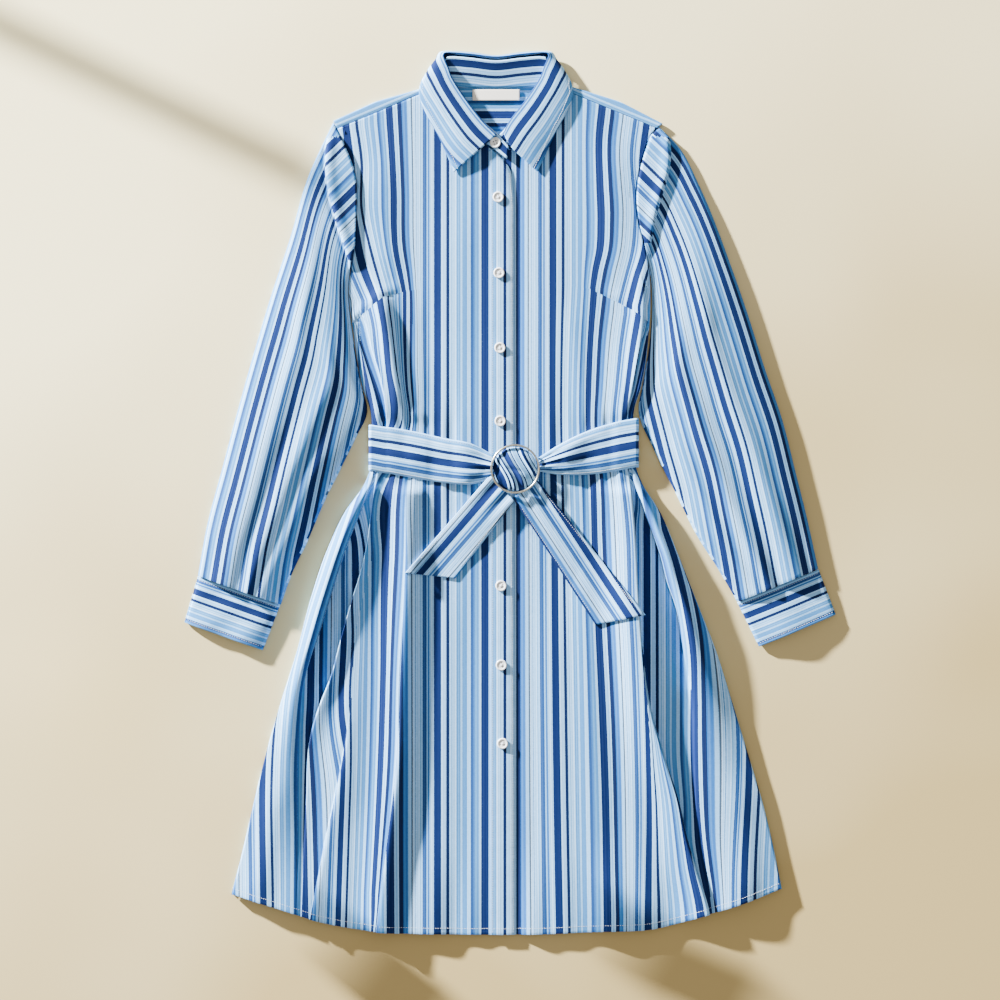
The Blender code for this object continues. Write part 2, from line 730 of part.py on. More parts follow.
def build_label():
    """The small bare label sewn under the stand at the centre back."""
    (x0, y0), (x1, y1) = LABEL
    mesh = bmesh.new()
    size = Matrix.Diagonal((x1 - x0, y1 - y0, LABEL_WALL, 1))
    bmesh.ops.create_cube(mesh, size=1, matrix=size)
    middle = ((x0 + x1) / 2, (y0 + y1) / 2, LABEL_HEIGHT + LABEL_WALL / 2)
    bmesh.ops.translate(mesh, verts=mesh.verts, vec=middle)
    return add_object("neck_label", mesh, (0.85, 0.82, 0.76, 1.0), roughness=0.8)


def resting_on(pieces, reach, gap):
    """Height at which a cloth's top clears the highest of pieces within reach of a place."""
    graph = bpy.context.evaluated_depsgraph_get()
    trees = [BVHTree.FromObject(piece, graph) for piece in pieces]

    def height(x, y):
        highest = 0
        for dx in (-reach, 0, reach):
            for dy in (-reach, 0, reach):
                for tree in trees:
                    hit = tree.ray_cast(Vector((x + dx, y + dy, 0.1)), Vector((0, 0, -1)))[0]
                    if hit:
                        highest = max(highest, hit.z)
        return highest + gap + WALL

    return height


for old in list(bpy.data.objects):
    bpy.data.objects.remove(old)
dress = bpy.data.collections.new("shirt_dress")
bpy.context.scene.collection.children.link(dress)

build_back()
build_yoke()
front_right = build_front("front_right", right_free_edge, left_edge, RIGHT_SHOULDER, RIGHT_ARMPIT, False)
front_left = build_front("front_left", left_free_edge, right_edge, LEFT_SHOULDER, LEFT_ARMPIT, True)
placket = build_placket()
build_sleeve("sleeve_right", RIGHT_SLEEVE, -1)
build_sleeve("sleeve_left", LEFT_SLEEVE, 1)
build_cuff("cuff_right", RIGHT_CUFF)
build_cuff("cuff_left", LEFT_CUFF)
build_collar("collar_stand", whole(STAND, LEFT_STAND_ENDS), 28, 2, (CENTRE, 0.43, -0.05))
build_collar("collar_fall", whole(FALL, [LEFT_LEAF_END]), 32, 5, (CENTRE, 0.46, 0.004))
build_label()

bpy.context.view_layer.update()
cloth_below = [front_right, front_left, placket]
build_belt(resting_on(cloth_below, 0.008, 0.0004))
over_fronts = resting_on(cloth_below, 0.006, 0.0004)
build_tail("belt_tail_left", LEFT_TAIL, over_fronts, 0)
build_tail("belt_tail_right", RIGHT_TAIL, over_fronts, WALL + 2 * SEAM)
build_knot()
build_ring()

on_placket = BODY + SEAM + PLACKET_WALL + SEAM
for number, (x, y) in enumerate(BUTTONS, start=1):
    build_button(f"button_{number}", (x, y), on_placket + belt_lift(y))
build_button("button_neck", NECK_BUTTON, 0.0072)
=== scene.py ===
"""The looks of a belted shirt dress in yarn-dyed striped poplin, laid on its back.

X runs across the dress, Y from hem to neck and Z up, in metres. The dress is put together from
the back to the buttons, and last come the floor, the lights and the camera.
"""

import math

import bpy
import numpy as np
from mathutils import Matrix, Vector
from mathutils.bvhtree import BVHTree


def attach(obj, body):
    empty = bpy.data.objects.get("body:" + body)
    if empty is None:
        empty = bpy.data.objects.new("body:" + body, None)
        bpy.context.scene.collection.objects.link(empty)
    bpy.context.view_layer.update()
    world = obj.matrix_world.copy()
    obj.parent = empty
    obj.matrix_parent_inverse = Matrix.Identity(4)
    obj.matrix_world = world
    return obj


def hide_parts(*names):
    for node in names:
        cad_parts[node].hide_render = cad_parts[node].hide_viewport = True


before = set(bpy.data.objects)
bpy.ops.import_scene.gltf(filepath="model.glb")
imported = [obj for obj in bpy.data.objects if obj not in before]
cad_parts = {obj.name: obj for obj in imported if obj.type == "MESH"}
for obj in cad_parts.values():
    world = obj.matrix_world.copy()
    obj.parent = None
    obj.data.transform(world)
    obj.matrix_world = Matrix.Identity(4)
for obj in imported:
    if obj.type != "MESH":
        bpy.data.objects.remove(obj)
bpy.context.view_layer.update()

# ---------------------------------------------------------------------------------------------
# The cloth. Plain-woven cotton poplin, its warp dyed blue in many tints before it is woven, so
# that the stripes go right through. Every cloth piece is cut from it and gets its own copy of
# the material, which reads where each point lies in the uncut cloth.

MM = 0.001
REPEAT = 106 * MM  # of the stripes
WIDE_BLUE = -83.4 * MM  # where a wide blue stripe runs, in the cloth of the right front
BACKED_WALL = 0.7 * MM  # one thickness of cloth

INK = (0.008, 0.021, 0.092)
NAVY = (0.008, 0.018, 0.070)
MID = (0.024, 0.080, 0.235)
SKY = (0.046, 0.175, 0.440)
PALE = (0.105, 0.310, 0.600)
GREY_BLUE = (0.085, 0.115, 0.165)
LIGHT = (0.190, 0.440, 0.740)
WHITE = (0.430, 0.680, 0.960)
FINE_LINE = (0.47, 0.66, 0.80)  # what the fine lines multiply a stripe by

# The repeat, from the left edge of a wide blue stripe: width in millimetres, colour.
STRIPES = (
    (8.0, INK), (5.8, WHITE), (4.0, NAVY), (2.4, WHITE), (1.1, LIGHT), (4.5, WHITE), (4.6, PALE),
    (2.3, WHITE), (5.8, PALE), (3.4, WHITE), (3.5, MID), (1.1, SKY), (5.2, PALE), (2.3, WHITE),
    (8.6, INK), (2.0, WHITE), (1.0, LIGHT), (2.2, WHITE), (4.6, NAVY), (5.2, SKY), (3.4, WHITE),
    (1.7, GREY_BLUE), (2.3, WHITE), (1.1, PALE), (3.4, WHITE), (1.2, LIGHT), (2.3, WHITE),
    (4.6, MID), (1.1, WHITE), (2.3, SKY), (5.0, WHITE),
)  # fmt: skip

YARN = 0.55 * MM  # pitch of the weave as it shows, in pairs of yarns


def add_node(tree, kind, inputs=(), **settings):
    """A shader or geometry node with its settings, and its inputs as values or links."""
    node = tree.nodes.new(kind)
    for name, value in settings.items():
        setattr(node, name, value)
    for key, value in dict(inputs).items():
        if isinstance(value, bpy.types.NodeSocket):
            tree.links.new(value, node.inputs[key])
        else:
            node.inputs[key].default_value = value
    return node


def maths(tree, operation, *values):
    return add_node(tree, "ShaderNodeMath", enumerate(values), operation=operation).outputs[0]


def make_group(name, inputs, outputs, kind="ShaderNodeTree"):
    """A node group with its sockets, given as name and kind of socket."""
    group = bpy.data.node_groups.new(name, kind)
    for direction, sockets in (("INPUT", inputs), ("OUTPUT", outputs)):
        for socket, socket_kind in sockets:
            kind_name = "NodeSocket" + socket_kind
            group.interface.new_socket(socket, in_out=direction, socket_type=kind_name)
    start = group.nodes.new("NodeGroupInput")
    end = group.nodes.new("NodeGroupOutput")
    return group, start.outputs, end.inputs


def noise(tree, where, scale, detail=2.0, **inputs):
    """Values about one half that change from place to place."""
    given = {"Vector": where, "Scale": scale, "Detail": detail, **inputs}
    return add_node(tree, "ShaderNodeTexNoise", given).outputs["Fac"]


def tinted(tree, share, stops, interpolation="LINEAR"):
    """Colours along a share from 0 to 1, given as stops of position and colour."""
    chart = add_node(tree, "ShaderNodeValToRGB", {"Fac": share})
    elements = chart.color_ramp.elements
    chart.color_ramp.interpolation = interpolation
    for number, (position, color) in enumerate(stops):
        stop = elements[number] if number < 2 else elements.new(position)
        stop.position = position
        stop.color = (*color, 1.0)
    return chart.outputs["Color"]


def multiplied(tree, share, color, by):
    """A colour multiplied by another one as far as the share says."""
    inputs = {0: share, 6: color, 7: by}
    settings = {"data_type": "RGBA", "blend_type": "MULTIPLY"}
    return add_node(tree, "ShaderNodeMix", inputs, **settings).outputs[2]


def new_material(name, **inputs):
    """A material, its tree and its shader, whose inputs are given with _ for each space."""
    material = bpy.data.materials.new(name)
    material.use_nodes = True
    shader = material.node_tree.nodes["Principled BSDF"]
    for key, value in inputs.items():
        shader.inputs[key.replace("_", " ")].default_value = value
    return material, material.node_tree, shader


def world_place(tree):
    return add_node(tree, "ShaderNodeNewGeometry").outputs["Position"]


def emboss(tree, shader, height, strength):
    """Bumps of the surface, as deep as a yarn."""
    inputs = {"Strength": strength, "Distance": 0.05 * MM, "Height": height}
    bump = add_node(tree, "ShaderNodeBump", inputs)
    tree.links.new(bump.outputs["Normal"], shader.inputs["Normal"])


def place_object(name, data):
    made = bpy.data.objects.new(name, data)
    bpy.context.scene.collection.objects.link(made)
    return made


def make_stripes_group():
    """Colour and weave of the poplin from the place in the uncut cloth, in metres."""
    group, given, result = make_group(
        "yarn-dyed stripes",
        (("Cloth Place", "Vector"), ("Repeat", "Float"),
         ("Yarn Pitch", "Float"), ("Flecks", "Float")),
        (("Color", "Color"), ("Weave", "Float")),
    )  # fmt: skip
    place = given["Cloth Place"]
    axes = add_node(group, "ShaderNodeSeparateXYZ", {"Vector": place})
    waver = maths(group, "MULTIPLY_ADD", noise(group, place, 900.0, 1.0), 0.5 * MM, -0.25 * MM)
    across = maths(group, "ADD", axes.outputs["X"], waver)
    from_blue = maths(group, "SUBTRACT", across, WIDE_BLUE - STRIPES[0][0] / 2 * MM)
    share = maths(group, "FRACT", maths(group, "DIVIDE", from_blue, given["Repeat"]))
    stops, start = [], 0.0
    total = sum(width for width, _ in STRIPES)
    for width, color in STRIPES:
        stops.append((start, color))
        start += width / total
    chart = tinted(group, share, stops, "CONSTANT")
    given_lines = {"W": share, "Scale": 62.0, "Detail": 2.0}
    lines = add_node(group, "ShaderNodeTexNoise", given_lines, noise_dimensions="1D")
    line_share = add_node(
        group, "ShaderNodeMath", {0: lines.outputs["Fac"], 1: 6.0, 2: -2.1},
        operation="MULTIPLY_ADD", use_clamp=True,
    )  # fmt: skip
    lined = multiplied(group, line_share.outputs[0], chart, (*FINE_LINE, 1.0))
    yarns = []
    for stretch, scale in (((1.0, 0.08, 1.0), 1700.0), ((0.15, 1.0, 1.0), 1400.0)):
        yarn = add_node(group, "ShaderNodeMapping", {"Vector": place, "Scale": stretch})
        yarns.append(noise(group, yarn.outputs[0], scale, 1.0))
    flecks = maths(group, "SUBTRACT", maths(group, "ADD", *yarns), 1.0)
    brightness = maths(group, "ADD", maths(group, "MULTIPLY", flecks, given["Flecks"]), 1.0)
    group.links.new(multiplied(group, 1.0, lined, brightness), result["Color"])
    turns = maths(group, "DIVIDE", 2 * math.pi, given["Yarn Pitch"])
    ways = across, axes.outputs["Y"]
    waves = [maths(group, "SINE", maths(group, "MULTIPLY", way, turns)) for way in ways]
    group.links.new(maths(group, "MULTIPLY", *waves), result["Weave"])
    return group


stripes_group = make_stripes_group()


def make_poplin(name):
    """The poplin's material. Where "beyond" is above zero the cloth place is "place beyond"."""
    material, tree, shader = new_material(name, Roughness=0.82, Specular_IOR_Level=0.08)
    place, place_beyond, beyond = (
        add_node(tree, "ShaderNodeAttribute", attribute_name=layer)
        for layer in ("place", "place_beyond", "beyond")
    )
    is_beyond = maths(tree, "GREATER_THAN", beyond.outputs["Fac"], 0.0)
    inputs = {0: is_beyond, 4: place.outputs["Vector"], 5: place_beyond.outputs["Vector"]}
    choice = add_node(tree, "ShaderNodeMix", data_type="VECTOR")
    for socket, value in inputs.items():
        tree.links.new(value, choice.inputs[socket])
    stripes = add_node(tree, "ShaderNodeGroup", node_tree=stripes_group)
    tree.links.new(choice.outputs[1], stripes.inputs["Cloth Place"])
    for key, value in (("Repeat", REPEAT), ("Yarn Pitch", YARN), ("Flecks", 0.34)):
        stripes.inputs[key].default_value = value
    tree.links.new(stripes.outputs["Color"], shader.inputs["Base Color"])
    emboss(tree, shader, stripes.outputs["Weave"], 0.35)
    return material


def curve_through(keys, values):
    """A smooth curve through values at rising keys, level past both ends. It takes an array."""
    keys = np.array(keys, float)
    values = np.array(values, float)
    slopes = np.gradient(values, keys, axis=0)

    def at(key):
        key = np.clip(key, keys[0], keys[-1])
        i = np.clip(np.searchsorted(keys, key, "right") - 1, 0, len(keys) - 2)
        span = keys[i + 1] - keys[i]
        u = (key - keys[i]) / span
        if values.ndim > 1:
            span, u = span[..., None], u[..., None]
        start = (1 + 2 * u) * (1 - u) ** 2 * values[i] + u * (1 - u) ** 2 * span * slopes[i]
        return start + u * u * (3 - 2 * u) * values[i + 1] + u * u * (u - 1) * span * slopes[i + 1]

    return at


def column(table, key, value):
    """One column of a table in millimetres as a smooth curve over another, in metres."""
    rows = sorted(table, key=lambda row: row[key])
    return curve_through([row[key] * MM for row in rows], [row[value] * MM for row in rows])


def path(points):
    """A smooth curve through points, as a function of the share of its length."""
    points = np.array(points, float)
    lengths = np.linalg.norm(np.diff(points, axis=0), axis=1)
    return curve_through(np.concatenate([[0], np.cumsum(lengths)]) / lengths.sum(), points)


def ramp(low, high, value):
    """0 below low and 1 above high, smooth between."""
    u = np.clip((value - low) / (high - low), 0, 1)
    return u * u * (3 - 2 * u)


def bell(value, width):
    """1 where the value is zero, falling off to both sides."""
    return np.exp(-((value / width) ** 2))


def together(*values):
    """Several grids of values as one grid of points."""
    return np.stack(values, axis=-1)


def cut_cloth(name, points, place, wall, outward, beyond=None, keep=None):
    """A cloth piece from a grid of points, each with its place in the uncut cloth.

    Its wall is on the side away from outward, a direction at the middle of the grid.
    """
    rows, columns = points.shape[:2]
    index = np.arange(rows * columns).reshape(rows, columns)
    quads = together(index[:-1, :-1], index[:-1, 1:], index[1:, 1:], index[1:, :-1])
    if keep is not None:
        quads = quads[keep[: quads.shape[0], : quads.shape[1]]]
    quads = quads.reshape(-1, 4)
    used = np.unique(quads)
    fresh = np.zeros(rows * columns, int)
    fresh[used] = np.arange(len(used))
    mesh = bpy.data.meshes.new(name)
    mesh.from_pydata(points.reshape(-1, 3)[used].tolist(), [], fresh[quads].tolist())
    layers = {"place": place}
    if beyond is not None:
        layers["place_beyond"], distance = beyond
        values = mesh.attributes.new("beyond", "FLOAT", "POINT")
        values.data.foreach_set("value", distance.reshape(-1)[used].astype(np.float32))
    for layer, value in layers.items():
        flat = np.zeros((len(used), 3), np.float32)
        flat[:, :2] = value.reshape(-1, 2)[used]
        vectors = mesh.attributes.new(layer, "FLOAT_VECTOR", "POINT")
        vectors.data.foreach_set("vector", flat.ravel())
    mesh.update()
    if sum(face.normal.dot(Vector(outward)) * face.area for face in mesh.polygons) < 0:
        mesh.flip_normals()
    mesh.shade_smooth()
    mesh.materials.append(make_poplin(name.replace("_", " ") + " poplin"))
    piece = place_object(name, mesh)
    thicken = piece.modifiers.new("wall", "SOLIDIFY")
    thicken.thickness = wall
    thicken.offset = -1
    normals = piece.modifiers.new("flat faces lead", "WEIGHTED_NORMAL")
    normals.weight = 80
    return piece


def declare(piece, node=None):
    """Hangs a piece under the root body, and hides the solid that it stands for, if any."""
    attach(piece, "root")
    if node:
        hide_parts(node)


def fit(piece, node):
    """Hangs a cloth piece under the root body, and hides the solid that it stands for."""
    declare(piece, node)


# ---------------------------------------------------------------------------------------------
# The back. One cut piece below the yoke, face down on the surface, its edges turned up at the
# sides to meet the fronts. The belt passes under it at the waist.

BODY = 4.2 * MM  # height of the closed body
ROLL = BODY / 2
YOKE_LINE = 370 * MM
HEM_END = -507 * MM  # y of the lowest point of the hem
ARMPITS = {-1: 286 * MM, 1: 278 * MM}  # y, at the left edge and at the right one
BELT_RISE = 1.5 * MM  # of the body over the belt that passes under it
EDGE_COLUMNS = 6  # columns of a piece's grid round a side fold

# Body from shoulder to hem: height, left edge, right edge. Down to the armpits the edges are
# the armholes, and from there the side folds.
SECTIONS = (
    (427, -203, 179), (412, -196, 163), (395, -188, 156), (368, -178, 148.5),
    (340, -176, 145), (310, -177, 148), (286, -178, 154), (262, -182, 159),
    (237, -185, 161), (178, -179, 159), (120, -169, 150), (92, -160, 142),
    (78, -158.8, 141.2), (51, -159.4, 143), (26, -160.8, 145.5), (10, -167, 152),
    (-20, -188, 171), (-66, -210, 191), (-119, -228, 212), (-183, -245, 237),
    (-240, -263, 255), (-302, -281, 274), (-359, -295, 291), (-419, -309, 305),
    (-465, -321, 314),
)  # fmt: skip
HEM = (
    (-325, -459), (-267, -477), (-203, -496), (-156, -503), (-67, -507), (33, -507), (102, -504),
    (170, -500), (220, -486), (284, -465), (320, -451),
)  # fmt: skip
left_edge = column(SECTIONS, 0, 1)
right_edge = column(SECTIONS, 0, 2)
hem_line = column(HEM, 0, 1)


def belt_lift(y):
    """Rise of the body where the belt passes under it."""
    return BELT_RISE * ramp(-4 * MM, 10 * MM, y) * (1 - ramp(92 * MM, 106 * MM, y))


def front_lift(y):
    """The same rise on the fronts, eased by the cloth between."""
    return BELT_RISE * ramp(-60 * MM, 20 * MM, y) * (1 - ramp(80 * MM, 190 * MM, y))


LEVEL_FROM, LEVEL_TO = -0.30, 0.28  # heights between which the rows are level


def lay_rows(rows, columns, seam, across):
    """x and y of a grid whose rows bend to the seam at the top and to the hem at the bottom.

    rows are heights on the centre line, and across gives x at an array of y.
    """
    level = np.repeat(rows[:, None], columns, axis=1)
    toward_seam = np.maximum(level - LEVEL_TO, 0) / (rows[0] - LEVEL_TO)
    toward_hem = np.maximum(LEVEL_FROM - level, 0) / (LEVEL_FROM - rows[-1])
    y = level
    for _ in range(25):
        x = across(y)
        y = level + toward_seam * (seam(x) - rows[0]) + toward_hem * (hem_line(x) - rows[-1])
    return x, y


def side_folded(armpit, y):
    """1 below the armpit, where a side fold runs, and 0 above it, where the armhole is cut."""
    return 1 - ramp(armpit - 12 * MM, armpit + 14 * MM, y)


def waisted(x, y):
    """Place across in the uncut cloth: the side panels are gathered towards the waist."""
    gather = 2.2 * bell(y - 0.05, 0.13)
    return x + np.sign(x) * np.maximum(np.abs(x) - 0.10, 0) * gather


def turn_edge(points, place, side, count, middle, radius):
    """Adds columns that carry a piece's last column round a side fold, down to middle height.

    side is -1 for the first column and 1 for the last, and it is also the fold's direction.
    """
    last = points[:, 0 if side < 0 else -1]
    last_place = place[:, 0 if side < 0 else -1]
    angle = np.linspace(0, np.pi / 2, count + 1)[1:]
    drop = (last[:, 2] - middle)[:, None]
    turned = np.repeat(last[:, None], count, axis=1)
    turned[..., 0] += side * radius[:, None] * np.sin(angle)
    turned[..., 2] = middle[:, None] + drop * np.cos(angle)
    turned_place = np.repeat(last_place[:, None], count, axis=1)
    turned_place[..., 0] += side * np.maximum(np.abs(drop), radius[:, None]) * angle
    if side < 0:
        order = slice(None, None, -1)
        return np.hstack([turned[:, order], points]), np.hstack([turned_place[:, order], place])
    return np.hstack([points, turned]), np.hstack([place, turned_place])


def make_back():
    rows = np.linspace(YOKE_LINE - 0.15 * MM, HEM_END, 150)
    shares = np.linspace(0, 1, 70)

    def across(y):
        left, right = left_edge(y) + ROLL, right_edge(y) - ROLL
        return left + shares * (right - left)

    x, y = lay_rows(rows, len(shares), lambda x: rows[0] + 0 * x, across)
    points = together(x, y, belt_lift(y))
    place = together(waisted(x, y), y)
    for side, armpit in ARMPITS.items():
        edge_y = y[:, 0 if side < 0 else -1]
        middle = belt_lift(edge_y) + (ROLL - 0.3 * MM) * side_folded(armpit, edge_y)
        points, place = turn_edge(points, place, side, EDGE_COLUMNS, middle, ROLL + 0 * edge_y)
    return cut_cloth("back_cloth", points, place, BACKED_WALL, (0, 0, -1))


back = make_back()
fit(back, "back")

# ---------------------------------------------------------------------------------------------
# The fronts. The right one, on the left here, laps over the other. Each hangs from a shoulder
# seam, is shaped by a bust dart, and falls in soft folds from the belt: a rolled outer fold, a
# deep valley beside it and lesser ridges, all unlike on the two sides.

# Lines of the shoulders: x, y of the seam, y of the fold.
SHOULDERS = {
    "right": ((-203, 415.5, 427), (-155, 435.5, 449), (-92, 462, 467)),
    "left": ((62, 462, 469), (127, 435.2, 449), (179, 413.7, 422)),
}
RIGHT_FRONT_EDGE = (
    (462, -92), (440, -78), (420, -58), (405, -38), (396, -24), (386, -12),
    (376, -3), (350, 3), (300, 4.6), (250, 4.6), (100, 5), (-50, 4.2), (-200, 5.2),
    (-510, 6),
)  # fmt: skip
LEFT_FRONT_EDGE = (
    (462, 62), (440, 50), (420, 34), (405, 17), (396, 4), (388, -8), (378, -17),
    (350, -20), (300, -20), (-510, -20),
)  # fmt: skip

# Lines of the folds, from the middle outwards. Rows: height, place across, place across in the
# uncut cloth on the near side and on the far side, rise on the near side, rise on the far side.
# In short rows the two sides are alike, and with three values nothing rises.
RIGHT_FOLDS = (
    (  # soft ridge beside the middle panel
        (451, -124, -126), (279, -120, -122), (232, -113.9, -123), (195, -112, -121, 0.4),
        (150, -111, -119, 1), (81, -109, -119, 2.4), (14, -118, -116, -116, 6.5, 6),
        (-80, -120, -118, -114, 9.5, 8), (-214, -126, -124, -111, 10.5, 8),
        (-309, -130, -128, -113, 10.5, 8), (-400, -141, -138, -117, 10, 7.5),
        (-507, -154, -151, -122, 9, 6.8),
    ),
    (  # wide blue stripe of the bodice, and a late fold of the skirt
        (451, -178, -189), (286, -160, -189), (218, -148.4, -189), (187, -143.2, -189, 1),
        (141, -139.2, -189, 1.5), (81, -134, -189, 1.5), (14, -146, -145, 3),
        (-83, -160, -152, 3), (-167, -178, -175, 3), (-239, -182, -176, 3),
        (-330, -197, -196, -205, 4, 1.6), (-400, -212, -212, -220, 4, 1.6),
        (-507, -233, -234, -239, 3.4, 1.4),
    ),
    (  # the ridge that ends at the deep valley
        (451, -192, -200), (395, -179, -192), (340, -167.5, -186), (286, -169, -200),
        (237, -176, -214), (215, -174, -216, -216, 0.4, 0.2), (197, -167, -214, -219, 1.6, 0.4),
        (164, -158.7, -209, -219, 3, 0), (135, -149.5, -203, -219, 4, 0),
        (106, -143.8, -197, -222, 4, 0), (81, -141.5, -197, -226, 3, 0),
        (14, -154, -153, -166, 6, -1), (-83, -169.3, -164, -181, 7.5, -2.2),
        (-124, -181.7, -178, -194, 7.5, -2.2), (-167, -194, -193, -206, 7, -2.2),
        (-212, -206.3, -205, -218, 6, -2), (-239, -217, -216, -229, 4.5, -1.6),
        (-265, -226, -225, -236, 3, -1), (-289, -231, -231, -241, 1.5, -0.4),
        (-350, -234, -236, -242, 1, 0), (-507, -240, -244, -248, 1, 0),
    ),
    (  # the inner border of the rolled outer fold
        (451, -199, -206), (395, -184.5, -197), (340, -172.5, -191), (286, -174.5, -206),
        (237, -181, -222), (205, -178.5, -227, 0.4), (178, -174, -229, 0.6),
        (152, -165.6, -229, 0.8), (90, -147, -229, 1), (50, -147.5, -220, -240, 1, 1),
        (14, -158, -171, -245, -1, 2.4), (-66, -189, -201, -249, -2.2, 5.8),
        (-155, -217, -229, -250, -2.2, 5.8), (-211, -235, -247, -254, -1.6, 4.2),
        (-290, -243, -253, -254, 0.6, 2.8), (-400, -244, -254, -254, 1.6, 2.2),
        (-507, -246, -256, -256, 1.6, 2),
    ),
)  # fmt: skip
LEFT_FOLDS = (
    (  # the ridge that ends at the deep valley
        (451, 164, 172), (395, 147, 155), (340, 136.5, 147), (286, 143, 158),
        (237, 153, 166, 166, 0.4, 0), (205, 154, 164, 170, 1, 0), (170, 150, 166, 196, 2, 0),
        (146, 146, 168, 201, 3, -0.6), (120, 141, 166, 201, 3.4, -0.6), (83, 134, 158, 203, 3, 0),
        (50, 134, 155, 180, 3, 0), (14, 138, 151, 137, 7, -1), (-38, 143, 149, 141, 9, -2),
        (-126, 148, 151, 146, 10.5, -2.2), (-179, 152, 152, 150, 10.5, -2),
        (-250, 162, 190, 160, 10, -1.2), (-302, 177, 205, 175, 9, -0.6),
        (-355, 194, 209, 188, 8, 0), (-397, 203.5, 212, 198, 7.4, 0.4),
        (-426, 212, 216, 202, 7, 0.8), (-478, 228, 219, 207, 6, 1.4),
        (-507, 233, 220, 210, 5.4, 1.6),
    ),
    (  # the inner border of the rolled outer fold
        (451, 172, 180), (395, 152, 160), (340, 141, 152), (286, 149, 164), (237, 157, 172),
        (205, 157, 190, 0.3), (170, 156, 209, 0.5), (146, 152.5, 209, 0.8), (120, 146.5, 209, 1),
        (83, 138, 209, 1), (50, 137.5, 185, 200, 1, 1), (14, 142, 140, 190, -1, 2),
        (-14, 151, 148, 192, -1.4, 3.4), (-45, 163, 161, 195, -2, 4.6),
        (-74, 173, 171, 194, -2.2, 5.8), (-102, 180, 178, 194, -2.2, 6),
        (-133, 191, 189, 198, -2.2, 6), (-182, 199, 197, 199, -2, 5.4),
        (-232, 208, 206, 206, -1, 4.2), (-300, 211, 209, 209, 0.4, 3),
        (-362, 213, 208, 208, 0.6, 2.6), (-397, 217, 209.5, 209.5, 0.8, 2.4),
        (-458, 228.5, 213, 213, 1, 2.2), (-507, 240, 224, 224, 1, 2),
    ),
)  # fmt: skip


def full_row(y, x, place, *rest):
    """A row of a fold with all of its six values."""
    if len(rest) == 3:
        return (y, x, place, *rest)
    rise = rest[0] if rest else 0
    return (y, x, place, place, rise, rise)


def held(place, *line):
    """A stripe with one place in the uncut cloth, along a line of heights and places across."""
    return [(y, x, place) for y, x in line]


# Stripes that are off their straight line. Rows: height, place across, place in the cloth.
RIGHT_STRIPES = (
    ((240, -103, -103), (81, -97, -97), (14, -98, -98), (-507, -98, -98)),
    held(
        -134.8, (227, -121.4), (164, -121.4), (124, -119.6), (81, -115), (17, -135.9),
        (-80, -143), (-220, -145.6), (-346, -150), (-460, -156),
    ),
    (
        (221, -139.2, -177.4), (187, -134.6, -177.4), (147, -130, -177.4), (81, -123.5, -177.4),
        (14, -141, -140), (-83, -151.5, -143.4), (-239, -164, -155.4), (-507, -190, -179.6),
    ),
)  # fmt: skip
LEFT_STRIPES = (
    held(5, (240, 5), (-507, 5)),
    held(48.9, (240, 49), (81, 49), (-55, 51), (-239, 52.6), (-400, 55), (-500, 57)),
    (
        (240, 80, 80), (232, 80, 80.4), (187, 78.5, 82), (147, 77, 82.5), (81, 76, 82.5),
        (9, 78.5, 82.5), (-170, 83, 82.5), (-485, 88, 82.5),
    ),
    held(
        103.2, (234, 95), (187, 92), (147, 90), (81, 89.4), (9, 94.9), (-55, 96.6), (-170, 101.9),
        (-239, 105.3), (-362, 109.8), (-485, 111.6),
    ),
    held(
        115, (226, 108.6), (187, 103.8), (120, 99.9), (81, 98), (9, 105.3), (-55, 107.5),
        (-170, 113.5), (-239, 117), (-485, 123.4),
    ),
    (
        (205, 147.4, 154.7), (167, 140.9, 154.7), (127, 135.6, 154.7), (88, 131, 154.7),
        (14, 130, 142), (-38, 136, 142), (-126, 142, 145), (-179, 149, 149), (-239, 157, 154.7),
        (-362, 159.9, 154.7), (-485, 157.3, 154.7),
    ),
)  # fmt: skip

# Stripes of the rolled outer folds.
RIGHT_ROLLED = (
    (
        (-2, -172.8, -255.3), (-87, -201, -255.3), (-150, -221, -255.3), (-220, -238, -255.3),
        (-290, -245, -255.3), (-400, -247, -256.5), (-480, -249, -258),
    ),
    held(
        -283.1, (-2, -200.6), (-87, -229), (-150, -249), (-220, -265), (-290, -271.4),
        (-480, -271.4),
    ),
    held(-295, (-2, -212.5), (-87, -241), (-150, -261), (-220, -276), (-290, -282), (-480, -282)),
)  # fmt: skip
LEFT_ROLLED = (
    (
        (-41, 177.1, 209), (-89, 191.6, 209), (-141, 202.2, 209), (-185, 209.3, 209),
        (-232, 212, 209.5), (-300, 213.5, 211), (-362, 215.5, 211), (-397, 219.5, 212),
        (-458, 230, 216), (-507, 242, 227),
    ),
    (
        (-73, 198.7, 220.8), (-114, 209.3, 220.8), (-167, 218, 220.8), (-220, 219.7, 220.8),
        (-308, 221.6, 220.8), (-397, 225.5, 220.8), (-475, 236, 221.5), (-507, 245, 230),
    ),
    held(245, (-73, 215), (-119, 230), (-200, 252), (-470, 254)),
    held(260.5, (-73, 226), (-119, 241), (-200, 264), (-470, 266.5)),
    held(272, (-73, 238), (-119, 253), (-200, 276.5), (-470, 279.5)),
)  # fmt: skip

